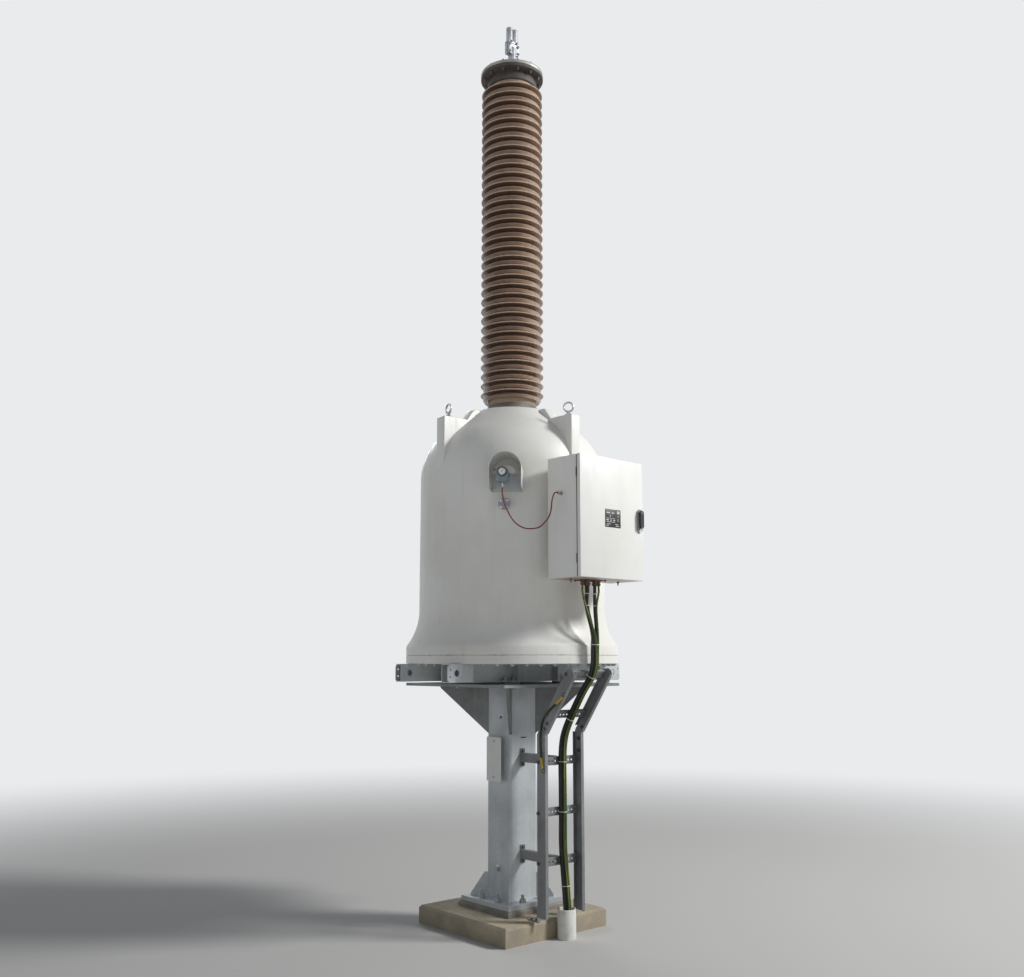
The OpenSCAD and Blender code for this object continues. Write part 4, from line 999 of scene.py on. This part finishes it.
lock.data.transform(facing((HANDLE_X, DOOR_FRONT - 0.0285, PIVOT_Z - 0.002), FRONT))
finish_piece(lock, TIN, "handle")
finish_piece(join("handle_grip", [lever, boss]), HANDLE_BLACK, "handle", stands_for=["handle_lever"])

# The plate's cells: low and high edge of each row, then its cells from left to right
DATA_LEFT = -0.070
DATA_LOW = 2.674553
plate = block("data_plate", (DATA_LEFT, DOOR_FRONT - 0.0015, DATA_LOW), (0.078, DOOR_FRONT, DATA_LOW + 0.120))
soften(plate, 0.0006)
finish_piece(plate, PLATE_DARK, "door", stands_for=["nameplate"])
cells = []
for low, high, spans in (
    (0.009, 0.014, ((0.010, 0.034), (0.100, 0.132))),
    (0.020, 0.024, ((0.016, 0.050), (0.094, 0.122))),
    (0.034, 0.038, ((0.012, 0.092),)),
    (0.044, 0.052, ((0.010, 0.034), (0.048, 0.060), (0.078, 0.094), (0.118, 0.126))),
    (0.058, 0.061, ((0.010, 0.094), (0.116, 0.128))),
    (0.070, 0.082, ((0.046, 0.052), (0.120, 0.126))),
    (0.092, 0.100, ((0.014, 0.046), (0.062, 0.086))),
    (0.092, 0.112, ((0.112, 0.138),)),
):
    for left, right in spans:
        cells.append(block(
            "cell", (DATA_LEFT + left, DOOR_FRONT - 0.00185, DATA_LOW + low),
            (DATA_LEFT + right, DOOR_FRONT - 0.0014, DATA_LOW + high)))
cells = join("data_plate_cells", cells)
soften(cells, 0.0003, 1)
finish_piece(cells, PLATE_CELL, "door")
rivet = spun("plate_rivet", [(0, 0), (0.0026, 0.0), (0.0024, 0.0008), (0.0012, 0.0019), (0, 0.0022)], 16)
places = [facing((x, DOOR_FRONT - 0.0015, z), FRONT) for x in (-0.0665, 0.0745) for z in (2.678, 2.791)]
finish_piece(set_out("data_plate_rivets", rivet, places), STAINLESS, "door")

# Screws of the hinges' rolled leaves
HINGE_HEIGHTS = (2.456553, 3.016553)
leaf_bolt = spun("hinge_screw", [(0, 0), (0.0032, 0), (0.0034, 0.0006), (0.0024, 0.0018), (0, 0.0021)], 16)
places = [facing((-0.292, CABINET_FRONT - 0.002, z + dz), FRONT) for z in HINGE_HEIGHTS for dz in (-0.005, 0.005)]
finish_piece(set_out("hinge_screws", leaf_bolt, places), HINGE_STEEL)

# The cables below the cabinet: name, radius, place at the gland plate, steps to the side and front below it,
# place where they join, place within the bundle and how far they lie to its front
CABLES = (
    ("power_cable", 0.015, -0.060, 0.004, 0.005, -0.004, 0.002, 0.0),
    ("signal_cable", 0.011, 0.012, 0.004, 0.005, 0.032, 0.032, 0.0),
    ("earth_wire_left", 0.0065, -0.104, -0.002, -0.034, -0.016, 0.006, 0.029),
    ("earth_wire_right", 0.0065, 0.049, -0.045, -0.024, 0.020, 0.024, 0.026),
)


# Glands under the cabinet, on its side and under the gauge
def gland(name, body, wide, nuts, rounding):
    """A clamping gland that looks up to its plate: a turned body, and nuts on it between these heights."""
    parts = [spun("gland_body", body, 28)]
    for low, high in nuts:
        nut = upright("gland_nut", wide, low, high)
        soften(nut, rounding)
        parts.append(nut)
    return join(name, parts)


def small_gland(name):
    """The plated gland of the lead, which has one at either end."""
    body = [(LEAD_R + 0.0003, 0.0), (0.0075, 0.0), (0.009, 0.002), (0.009, 0.034), (0.0, 0.034)]
    return gland(name, body, 0.013, ((0.008, 0.020), (0.027, 0.034)), 0.0012)


glands = []
for _, r, x, *_ in CABLES:
    bore = r + 0.0006
    body = [(bore, 0.0), (r + 0.0025, 0.0), (r + 0.004, 0.002), (r + 0.004, 0.034), (bore, 0.034)]
    dome = [(bore, 0.0002), (r + 0.003, 0.0006), (r + 0.0052, 0.0035), (r + 0.0056, 0.0082), (bore, 0.0082)]
    body = gland("gland_body", body, 1.25 * r + 0.007, ((0.008, 0.018), (0.025, 0.034)), 0.0014)
    part = join("cable_gland", [body, spun("gland_dome", dome, 28)])
    part.data.transform(move_to(x, GLAND_Y, GLAND_LOW))
    glands.append(part)
side_gland = small_gland("lead_gland")
# It reaches 36 mm from the cabinet's wall, where the others are 34 mm long
side_gland.data.transform(facing(CABINET_OUTLET, RIGHT) @ Matrix.Scale(36 / 34, 4, UP))
finish_piece(join("cabinet_glands", glands), BROWN_BRASS, stands_for=["cable_glands"])
finish_piece(side_gland, NICKEL, stands_for=["cable_glands"])
gauge_gland = small_gland("gauge_gland_nut")
gauge_gland.data.transform(Matrix.Translation(GAUGE_OUTLET))
finish_piece(gauge_gland, NICKEL, stands_for=["gauge_gland"])
GLAND_PLATE_LOW = CABINET_LOW - 0.004
plate = block("gland_plate_sheet", (-0.125, -0.880, GLAND_PLATE_LOW), (0.065, -0.760, CABINET_LOW))
soften(plate, 0.0012)
screw = hex_bolt("gland_screw", 0.010, 0.0045, washer=0.0012)
screws = set_out("gland_screws", screw, [
    facing((x, y, GLAND_PLATE_LOW), DOWN, x * 90) for x in (-0.117, -0.030, 0.057) for y in (-0.872, -0.768)])
finish_piece(join("gland_plate_sheet", [plate, screws]), RUSTY_PLATE, stands_for=["gland_plate"])

# Gauge under its hood. Local X looks out from the tank, Y to the side, Z up.
GAUGE = Matrix.Rotation(radians(225), 4, "Z")
GAUGE_SIDE = -0.007
HOOD_Z = 3.041553
HOOD_LOW = HOOD_Z - 0.126
HOOD_SIDE = 0.012
HOOD_FRONT = 0.947
HOOD_BACK = 0.699


def arch(x, radius):
    """The hood's arch at reach x, its two sides running straight down."""
    points = [(x, HOOD_SIDE + a, HOOD_Z + b) for a, b in round_points((0, 0), radius, 0, 180, 28)]
    return [(x, HOOD_SIDE + radius, HOOD_LOW)] + points + [(x, HOOD_SIDE - radius, HOOD_LOW)]


def flip(piece):
    """Turns all faces of an open sheet over."""
    work_on(piece)
    bpy.ops.mesh.flip_normals()
    leave()


hood = trace("sun_hood", arch(HOOD_FRONT, 0.1075))
work_on(hood)
bpy.ops.mesh.extrude_region_move(TRANSFORM_OT_translate={"value": (HOOD_BACK - HOOD_FRONT, 0, 0)})
outward()
leave()
if sum(face.normal.z * face.area for face in hood.data.polygons) < 0:
    flip(hood)
apply_modifier(hood, "SOLIDIFY", thickness=0.003, offset=-1)
soften(hood, 0.0009, 2, 60)
back_plate = slab("hood_back", arch(HOOD_BACK, 0.1060), (0.003, 0, 0))
window = [(0.690, HOOD_SIDE + a, HOOD_Z + b) for a, b in round_points((0, 0), 0.058, 0, 180, 24)]
opening = slab("hood_opening", window, (0.03, 0, 0))
cut(back_plate, opening)
bpy.data.objects.remove(opening)
soften(back_plate, 0.0007, 1, 60)
# Bare zinc sheet over the lower half of the back, up to the window
low_sheet = slab("hood_low_sheet", [(0.702, HOOD_SIDE + y, HOOD_Z + z) for y, z in (
    (-0.101, -0.122), (0.101, -0.122), (0.101, -0.002), (-0.101, -0.002))], (0.002, 0, 0))
soften(low_sheet, 0.0006, 1, 60)
hood_stud = spun("hood_stud", [(0, 0), (0.007, 0), (0.007, 0.031), (0, 0.031)], 20)
hood_nut = hex_bolt("hood_nut", 0.013, 0.0065, stud=0.003, washer=0.0014)
# Each stud, its height above the hood's middle, and the face that its nut sits on
corners = [(y, z, seat) for y in (-0.085, 0.085) for z, seat in ((-0.098, 0.704), (0.030, 0.702))]
studs = set_out("hood_studs", hood_stud, [
    facing((TANK_R - 0.001, HOOD_SIDE + y, HOOD_Z + z), RIGHT) for y, z, _ in corners])
nuts = set_out("hood_nuts", hood_nut, [
    facing((seat, HOOD_SIDE + y, HOOD_Z + z), RIGHT, y * 8) for y, z, seat in corners])
hood = join("sun_hood", [hood, studs])
for part, finish, stands in (
    (hood, HOOD_PAINT, ["gauge_hood"]), (back_plate, HOOD_PAINT, []), (low_sheet, ZINC, []), (nuts, ZINC, []),
):
    part.data.transform(GAUGE)
    finish_piece(part, finish, stands_for=stands)

CASE_FRONT = 0.922
CASE_BACK = 0.868
CASE_HALF_WIDTH = 0.038


def case_outline(x, proud=0.0):
    """The gauge case's outline at reach x, with its corners cut off and its sides this much proud."""
    w, h, low, high = CASE_HALF_WIDTH, 0.048, 0.012, 0.010
    side = w + proud
    return [(x, GAUGE_SIDE + y, HOUSING_Z + z) for y, z in (
        (low - w, -h), (w - low, -h), (side, low - h), (side, h - high),
        (w - high, h), (high - w, h), (-side, h - high), (-side, low - h))]


housing = slab("gauge_case", case_outline(CASE_BACK), (CASE_FRONT - CASE_BACK, 0, 0))
work_on(housing)
bpy.ops.mesh.bisect(plane_co=(CASE_FRONT - 0.014, 0, 0), plane_no=(1, 0, 0))
leave()
inset(housing, RIGHT, [0.004])
soften(housing, 0.0022, 3)
seam = slab("case_seam", case_outline(CASE_FRONT - 0.0165, 0.0006), (0.0014, 0, 0))
knob = spun("case_plug", [
    (0, 0), (0.014, 0), (0.014, 0.008), (0.0125, 0.010), (0.009, 0.0105), (0.009, 0.0145), (0.0075, 0.016),
    (0, 0.016)], 32)
knob.data.transform(facing((0.895, GAUGE_SIDE + CASE_HALF_WIDTH, HOUSING_Z), BACK))
case_screw = spun("case_screw", [(0, 0), (0.0036, 0), (0.0036, 0.0006), (0.0028, 0.0019), (0, 0.0021)], 18)
screws = set_out("case_screws", case_screw, [
    facing((CASE_FRONT, GAUGE_SIDE + y, HOUSING_Z + z), RIGHT) for z in (-0.034, 0.040) for y in (-0.031, 0.031)])
housing = join("gauge_case", [housing, knob])
for part, finish, stands in ((screws, STAINLESS, []), (seam, RUBBER, []), (housing, GAUGE_PAINT, ["gauge_housing"])):
    part.data.transform(GAUGE)
    finish_piece(part, finish, stands_for=stands)

# Dial, modelled at the origin looking up and then set on the case: bezel, face, glass, 31 marks and a pointer
DIAL_Z = HOUSING_Z + 0.020
DIAL_R = 0.0262
on_dial = GAUGE @ facing((CASE_FRONT, GAUGE_SIDE, DIAL_Z), RIGHT) @ Matrix.Diagonal((0.9, 0.9, 1.0, 1.0))
bezel = spun("gauge_bezel", [
    (0.020, 0.0), (0.036, 0.0), (0.036, 0.009), (0.0352, 0.0128), (0.0335, 0.014), (0.0290, 0.0138),
    (DIAL_R, 0.0120), (0.0258, 0.006), (0.020, 0.006)], 64)
face = spun("dial_face", [(0.0, 0.0062), (DIAL_R, 0.0062), (DIAL_R, 0.0072), (0.0, 0.0072)], 48)
glass = spun("dial_glass", [(0.0, 0.0095), (DIAL_R, 0.0095), (DIAL_R, 0.0112), (0.0, 0.0112)], 48)
ticks = []
for i in range(31):
    half, long = (0.00035, 0.0027) if i % 5 else (0.0006, 0.0048)
    tick = block("tick", (-half, DIAL_R - long, 0.0071), (half, DIAL_R, 0.00745))
    tick.data.transform(Matrix.Rotation(radians(-135 + 9 * i), 4, "Z"))
    ticks.append(tick)
pointer = slab("dial_pointer", [
    (-0.0011, -0.007, 0.0082), (0.0011, -0.007, 0.0082), (0.0005, 0.0215, 0.0082), (-0.0005, 0.0215, 0.0082),
], (0, 0, 0.0006))
pointer.data.transform(Matrix.Rotation(radians(-38), 4, "Z"))
hub = spun("pointer_hub", [(0, 0.0071), (0.0032, 0.0071), (0.0032, 0.0086), (0.0022, 0.0093), (0, 0.0093)], 24)
marks = join("dial_marks", ticks + [pointer, hub])
for part, finish, stands in (
    (bezel, BEZEL, ["gauge_dial"]), (face, DIAL_WHITE, []), (glass, GLASS, []), (marks, HANDLE_BLACK, []),
):
    part.data.transform(on_dial)
    finish_piece(part, finish, stands_for=stands)

# Gas pipe from the tank to the gauge, and the blanked fill port below
pipe = spun("gas_pipe", [
    (0.0, -0.004), (0.030, -0.004), (0.030, 0.0105), (0.0285, 0.012), (0.0115, 0.0125), (0.011, 0.016),
    (0.011, 0.19), (0, 0.19)], 40)
pipe.data.transform(facing((TANK_R, GAUGE_SIDE, HOUSING_Z), RIGHT))
nut = upright("pipe_nut", 0.020, -0.017, 0.017)
nut.data.transform(facing((0.851, GAUGE_SIDE, HOUSING_Z), RIGHT))
soften(nut, 0.002)
pipe = join("gas_pipe", [pipe, nut])
pipe.data.transform(GAUGE)
finish_piece(pipe, STAINLESS, stands_for=["gauge_pipe"])

PORT_Z = HOOD_Z - 0.201
PORT_BOLT_CIRCLE = 0.031
port = spun("fill_port", [
    (0.0, -0.004), (0.030, -0.004), (0.0275, 0.0005), (0.0245, 0.004), (0.024, 0.024), (0.0405, 0.0245),
    (0.041, 0.026), (0.041, 0.0305), (0.0402, 0.0315), (0.0, 0.0315)], 56)
blank = spun("fill_port_blank", [
    (0.0, 0.0318), (0.0402, 0.0318), (0.041, 0.0330), (0.041, 0.0375), (0.039, 0.040), (0.0, 0.040)], 56)
for part, finish in ((port, TANK_PAINT), (blank, PORT_PAINT)):
    part.data.transform(GAUGE @ facing((TANK_R, GAUGE_SIDE, PORT_Z), RIGHT))
    finish_piece(part, finish, stands_for=["blank_flange"])
port_bolt = hex_bolt("port_bolt", 0.013, 0.0065, washer=0.002)
places = []
for a in (pi / 4, 3 * pi / 4, 5 * pi / 4, 7 * pi / 4):
    aside, above = PORT_BOLT_CIRCLE * cos(a), PORT_BOLT_CIRCLE * sin(a)
    places.append(GAUGE @ facing((TANK_R + 0.040, GAUGE_SIDE + aside, PORT_Z + above), RIGHT, a))
finish_piece(set_out("port_bolts", port_bolt, places), STAINLESS)

# Cables down the ladder: two black control cables and two green and yellow earth wires
BUNDLE_ROUTE = (
    (-0.808, 1.885), (-0.790, 1.730), (-0.683, 1.590), (-0.583, 1.440), (-0.515, 1.310), (-0.493, 1.175),
    (-0.493, 0.975), (-0.493, 0.775), (-0.493, 0.575), (-0.501, 0.380), (-0.518, 0.210), (-0.522, 0.120),
    (-0.522, 0.020),
)


def cable_route(x, aside, forward, join_x, bundle_x, lift):
    """A cable's way straight out of its gland, over to the bundle and down the ladder into the conduit."""
    points = [(x, GLAND_Y, GLAND_LOW), (x, GLAND_Y, GLAND_LOW - 0.020), (x, GLAND_Y, GLAND_LOW - 0.040)]
    points += [(x + aside, GLAND_Y + forward, GLAND_LOW - 0.150), (join_x, GLAND_Y + 0.008 - lift, 1.990)]
    points += [(bundle_x + (0.010 if z < 0.42 else 0.0), y - lift, z) for y, z in BUNDLE_ROUTE]
    return [Vector(p) for p in points]


def striped(wire, sides, turn, body, stripes):
    """Gives a wire its two thin stripes, which wind slowly round it by this many turns of a side per ring."""
    wire.data.materials.append(body)
    wire.data.materials.append(stripes)
    for face in wire.data.polygons:
        ring, side = divmod(min(face.vertices), sides)
        if {v % sides for v in face.vertices} == {0, sides - 1}:
            side = sides - 1
        if len(face.vertices) == 4:
            face.material_index = 1 if (side + int(ring * turn)) % (sides // 2) < 1 else 0


routes = {name: cable_route(*place) for name, _, *place in CABLES}
black = [tube(name, routes[name], radius, 5, 7) for name, radius, *_ in CABLES[:2]]
finish_piece(join("black_cables", black), SHEATH, stands_for=["control_cables"], smooth=60)
for name, radius, *_ in CABLES[2:]:
    wire = tube(name, routes[name], radius, 6, 8)
    striped(wire, 16, 0.25, GREEN, YELLOW)
    finish_piece(wire, None, smooth=60)


TIE_WIDTH = 0.0048


def hull(points):
    """The points of a flat set that a tight strap round it touches, in order."""
    def half(row):
        """One side of the loop, without the points that lie behind it."""
        chain = []
        for p in row:
            while len(chain) > 1:
                (ax, ay), (bx, by) = chain[-2:]
                if (bx - ax) * (p[1] - ay) - (by - ay) * (p[0] - ax) > 0:
                    break
                chain.pop()
            chain.append(p)
        return chain[:-1]

    row = sorted(set((round(x, 6), round(y, 6)) for x, y in points))
    return half(row) + half(row[::-1])


def cable_tie(height, held, head_turn):
    """A nylon strap drawn tight round the cables that it holds, with its head."""
    places = [(along(routes[name], height), radius) for name, radius in held]
    ahead = sum((way for (_, way), _ in places), Vector()).normalized()
    side = Vector(RIGHT)
    front = ahead.cross(side).normalized()
    middle = sum((p for (p, _), _ in places), Vector()) / len(places)
    touched = []
    for (p, _), radius in places:
        x, y, r = (p - middle).dot(side), (p - middle).dot(front), radius + 0.0004
        touched += [(x + r * cos(a), y + r * sin(a)) for a in [2 * pi * k / 28 for k in range(28)]]
    loop = hull(touched)
    ring = [tuple(middle + x * side + y * front - TIE_WIDTH / 2 * ahead) for x, y in loop]
    strap = trace("tie", ring + [ring[0]])
    work_on(strap)
    bpy.ops.mesh.remove_doubles(threshold=0.00001)
    bpy.ops.mesh.extrude_region_move(TRANSFORM_OT_translate={"value": TIE_WIDTH * ahead})
    outward()
    leave()
    if sum((face.center - middle).dot(face.normal) * face.area for face in strap.data.polygons) < 0:
        flip(strap)
    apply_modifier(strap, "SOLIDIFY", thickness=0.0013, offset=1)
    reach = max(loop, key=lambda p: p[0] * cos(head_turn) + p[1] * sin(head_turn))
    out = reach[0] * side + reach[1] * front
    head = block("tie_head", (-0.0028, -0.0034, -0.0005), (0.0028, 0.0034, 0.0046))
    soften(head, 0.0007, 1)
    head.data.transform(facing(middle + out, out.normalized()))
    return join("tie", [strap, head])


# Each black cable has two ties of its own under its gland, and six ties hold all four further down
all_four = [(name, radius) for name, radius, *_ in CABLES]
ties = [cable_tie(height, [cable], -1.2) for height in (2.247, 2.168) for cable in all_four[:2]]
ties += [cable_tie(height, all_four, -2.2) for height in (1.912, 1.699, 1.417, 1.134, 0.807, 0.330)]
finish_piece(join("cable_ties", ties), NYLON, smooth=50)

# Blank marker strips on the two black cables, held by the upper pair of ties. They are partly painted
# light: the strip on the power cable stands for a pale lit patch on it.
strips_for_markers_and_light = []
for name, radius in all_four[:2]:
    (foot, _), (head, way) = along(routes[name], 2.170), along(routes[name], 2.245)
    out = way.cross(Vector((0.98, 0.2, 0.0))).normalized()
    strip = block("marker_and_lit_strip", (-0.0042, -0.0014, 0.0), (0.0042, 0.0, (head - foot).length))
    soften(strip, 0.0006, 1)
    turned = Matrix((way.cross(out), -out, way)).transposed().to_4x4()
    strip.data.transform(Matrix.Translation(head + out * (radius - 0.0002)) @ turned)
    strips_for_markers_and_light.append(strip)
finish_piece(join("cable_markers_and_lit_patch", strips_for_markers_and_light), MARKER_AND_LIT_PATCH)

# Shrink sleeves on the two earth wires, from their glands down to these heights. Their olive is partly
# painted light: it also stands for the light on the wires' tops.
wraps = []
for name, low in (("earth_wire_left", 2.190), ("earth_wire_right", 2.205)):
    top = routes[name][0]
    spots = [along(routes[name], low + (top.z - low) * part)[0] for part in (0.7, 0.4, 0.0)]
    wraps.append(tube("sleeve_with_lit_top", [top + Vector((0, 0, -0.003))] + spots, 0.0073))
finish_piece(join("sleeves_and_lit_tops", wraps), SLEEVE_AND_LIT_TOP, smooth=60)

# Bonding cable across the ladder's bend, from a lug on the lower rail to a lug on the upper one
LINK_X = -0.187
LINK_R = 0.007
LINK_ROUTE = [Vector((LINK_X, RAIL_Y + y, BEND_Z + z)) for y, z in (
    (-0.022, -0.225), (-0.017, -0.200), (-0.006, -0.144), (0.002, -0.059), (-0.002, 0.015), (-0.025, 0.090),
    (-0.079, 0.151), (-0.142, 0.195), (-0.200, 0.235), (-0.215, 0.252))]
link = tube("bonding_cable", LINK_ROUTE, LINK_R, 4, 8)
striped(link, 12, 0.25, DARK_GREEN, GREEN)
finish_piece(link, None, stands_for=["earth_link"], smooth=60)
tape, lugs, lug_bolts = [], [], []
bolt = hex_bolt("lug_bolt", 0.016, 0.0085, stud=0.004, washer=0.0018)
for here, there, further, *_ in (LINK_ROUTE, LINK_ROUTE[::-1]):
    way = (there - here).normalized()
    across = way.cross(Vector(RIGHT)).normalized()
    spots = [here + way * 0.003, there, there + (further - there) * 0.42, there + (further - there) * 0.80]
    tape.append(tube("tape", spots, 0.0079))
    barrel = spun("lug_barrel", [
        (0.0, 0.0), (0.0066, 0.0), (0.0071, 0.001), (0.0071, 0.014), (0.0064, 0.016), (0.0, 0.016)], 24)
    barrel.data.transform(facing(here - way * 0.010, way))
    base = Vector((-0.1802, here.y, here.z))
    eye = base - way * 0.016
    outline = [base - across * 0.0075, base + across * 0.0075, base - way * 0.012 + across * 0.0095]
    outline += [eye - way * 0.0095 * sin(t) + across * 0.0095 * cos(t) for t in [pi * k / 10 for k in range(11)]]
    outline += [base - way * 0.012 - across * 0.0095]
    tongue = slab("lug_tongue", [tuple(p) for p in outline], (-0.003, 0, 0))
    soften(tongue, 0.0006, 1)
    lugs += [barrel, tongue]
    lug_bolts.append(facing(eye + Vector((-0.003, 0, 0)), LEFT, 0.3))
finish_piece(join("yellow_tape", tape), TAPE, smooth=60)
finish_piece(join("bonding_lugs", lugs), TIN)
finish_piece(set_out("bonding_bolts", bolt, lug_bolts), DARK_BOLT)

# Ladder: perforated rungs of folded sheet, three on the upright rails and two on the leaning ones
RAIL_OUTSIDE = 0.180
RAIL_INSIDE = 0.173
rung = block("ladder_rung", (-0.1765, 0.0, -0.0275), (0.1765, 0.018, 0.0275))
work_on(rung)
pick_faces(rung, looks(BACK, LEFT, RIGHT))
bpy.ops.mesh.delete(type="FACE")
leave()
apply_modifier(rung, "SOLIDIFY", thickness=0.0025, offset=-1)
soften(rung, 0.0018, 3, 50)
deselect()
bpy.ops.mesh.primitive_cylinder_add(vertices=20, radius=0.0068, depth=0.03, rotation=(pi / 2, 0, 0))
punch = bpy.context.object
apply_place()
punches = set_out("punch", punch, [move_to(-0.150 + 0.030 * i, 0, 0) for i in range(11)])
cut(rung, punches)
bpy.data.objects.remove(punches)
slope = move_to(0, RAIL_Y, BEND_Z) @ Matrix.Rotation(LEAN, 4, "X")
rung_places = [move_to(0, RAIL_Y + 0.019, z) for z in (0.49, 0.81, 1.14)]
rung_places += [slope @ move_to(0, 0.019, z) for z in (0.137, 0.462)]
# The rungs' dark grey is painted shade
finish_piece(set_out("perforated_rungs", rung, rung_places), ZINC_DULL, stands_for=["ladder_rungs"])

# Bolts of the ladder: through the splices below and above the bend, through the rungs, and in the feet. Nuts
# show on the three lower bolts of each splice.
rail_bolt = hex_bolt("rail_bolt", 0.019, 0.008, washer=0.002)
rail_nut = hex_bolt("rail_nut", 0.019, 0.009, stud=0.006, washer=0.002)
heads, ends = [], []
for side in (-1, 1):
    out, inward = (side, 0, 0), (-side, 0, 0)
    for z in (-0.125, -0.045):
        heads.append(facing((RAIL_OUTSIDE * side, RAIL_Y, BEND_Z + z), out, z * 9))
        ends.append(facing((RAIL_INSIDE * side, RAIL_Y, BEND_Z + z), inward, z * 7))
    for z, has_nut in ((0.045, True), (0.090, False)):
        spot = slope @ Vector((0, -0.006, z))
        heads.append(facing((RAIL_OUTSIDE * side, spot.y, spot.z), out, z * 9))
        if has_nut:
            ends.append(facing((RAIL_INSIDE * side, spot.y, spot.z), inward, z * 7))
    for place in rung_places:
        spot = place @ Vector((0.0, 0.009, 0.0))
        heads.append(facing((RAIL_OUTSIDE * side, spot.y, spot.z), out, spot.z * 5))
    for y in (RAIL_Y + 0.065, RAIL_Y + 0.105):
        heads.append(facing((0.1675 * side, y, PLINTH_TOP + 0.006), UP, y * 9))
# The bolts' dark finish is partly painted shade
finish_piece(set_out("rail_bolts", rail_bolt, heads), DARK_BOLT)
finish_piece(set_out("rail_nuts", rail_nut, ends), DARK_BOLT)

# Bolts of the two arms between post and ladder
bracket_bolt = hex_bolt("bracket_bolt", 0.019, 0.009, washer=0.002)
places = []
for z in (0.49, 1.14):
    places += [facing((-0.016, -0.133, z + dz), FRONT, dz * 20) for dz in (-0.046, 0.046)]
    places.append(facing((-0.016, -0.476, z), FRONT, 0.2))
finish_piece(set_out("bracket_bolts", bracket_bolt, places), DARK_BOLT)

# Post and frame: anchor nuts on the base plate, bolts through head plate and channels
anchor = hex_bolt("anchor_nut", 0.036, 0.019, stud=0.024, washer=0.004)
places = [facing((x, y, BASE_PLATE_TOP), UP, x * 7 + y * 3) for x, y in (
    (0.205, 0.085), (0.205, -0.085), (-0.205, 0.085), (-0.205, -0.085),
    (0.085, 0.205), (-0.085, 0.205), (0.085, -0.205), (-0.085, -0.205))]
finish_piece(set_out("anchor_nuts", anchor, places), ZINC_BOLT)

frame_bolt = hex_bolt("frame_bolt", 0.030, 0.013, washer=0.004)
frame_nut = hex_bolt("frame_nut", 0.030, 0.016, stud=0.014, washer=0.004)
corners = [(x, y) for x in (-0.29, -0.21, 0.21, 0.29) for y in (-0.256, 0.256)]
low = [facing((x, y, POST_TOP), DOWN, x * 5) for x, y in corners]
high = [facing((x, y, FRAME_LOW + 0.006), UP, x * 7) for x, y in corners]
finish_piece(set_out("frame_bolts", frame_bolt, low), ZINC_BOLT)
finish_piece(set_out("frame_nuts", frame_nut, high), ZINC_BOLT)

# Conduit stub with a flared rim and a plug of sealing foam
CONDUIT = (0.020, -0.522)
conduit = spun("conduit_pipe", [
    (0.057, 0.0), (0.0608, 0.0), (0.062, 0.0012), (0.062, 0.187), (0.0612, 0.1892), (0.0598, 0.190),
    (0.0582, 0.1892), (0.057, 0.187), (0.057, 0.0)], 56, centre=CONDUIT)
finish_piece(conduit, DUCT, stands_for=["conduit_stub"])
foam = spun("conduit_foam", [
    (0.0, 0.120), (0.0568, 0.120), (0.0568, 0.160), (0.050, 0.166), (0.030, 0.170), (0.0, 0.171)], 40, centre=CONDUIT)
work_on(foam)
bpy.ops.mesh.subdivide(number_cuts=1)
leave()
swell = bpy.data.textures.new("foam_swell", "CLOUDS")
swell.noise_scale = 0.02
apply_modifier(foam, "DISPLACE", texture=swell, strength=0.004, mid_level=0.6, texture_coords="GLOBAL")
finish_piece(foam, FOAM)

# Phase plate: enamelled sheet with round corners on its standoffs
CORNER_R = 0.009
corners = []
for y, z, start in ((-0.0595, 0.984, 180), (0.0755, 0.984, 270), (0.0755, 1.269, 0), (-0.0595, 1.269, 90)):
    corners += round_points((y, z), CORNER_R, start, start + 90, 6)
plate = slab("phase_plate_sheet", [(-0.161, y, z) for y, z in corners], (-0.003, 0, 0))
inset(plate, LEFT, [0.006, 0.002], (0.0008, 0, 0))
soften(plate, 0.0006, 1)
standoff = spun("plate_standoff", [(0.0, 0.0), (0.006, 0.0), (0.006, 0.036), (0.0, 0.036)], 20)
heights = (1.005, 1.248)
spacers = set_out("plate_standoffs", standoff, [facing((-0.125, 0.008, z), LEFT) for z in heights])
finish_piece(plate, PHASE_ENAMEL, stands_for=["phase_plate"])
finish_piece(spacers, ZINC_BOLT)
plate_screw = hex_bolt("plate_screw", 0.010, 0.004, washer=0.0015)
screws = set_out("plate_screws", plate_screw, [facing((-0.1632, 0.008, z), LEFT, z) for z in heights])
finish_piece(screws, STAINLESS)

# Rubber plug in the slot of the post's front
plug = block("post_slot_plug", (-0.028, -0.1272, 1.2712), (0.018, -0.1240, 1.2788))
soften(plug, 0.0014)
finish_piece(plug, RUBBER)

# Earth boss near the post's foot
boss = block("earth_boss", (-0.131, -0.020, 0.370), (-0.125, 0.020, 0.412))
soften(boss, 0.001)
boss_bolt = hex_bolt("boss_bolt", 0.019, 0.009, washer=0.002)
boss_bolt.data.transform(facing((-0.131, 0.0, 0.391), LEFT))
finish_piece(join("earth_boss", [boss, boss_bolt]), STAINLESS)
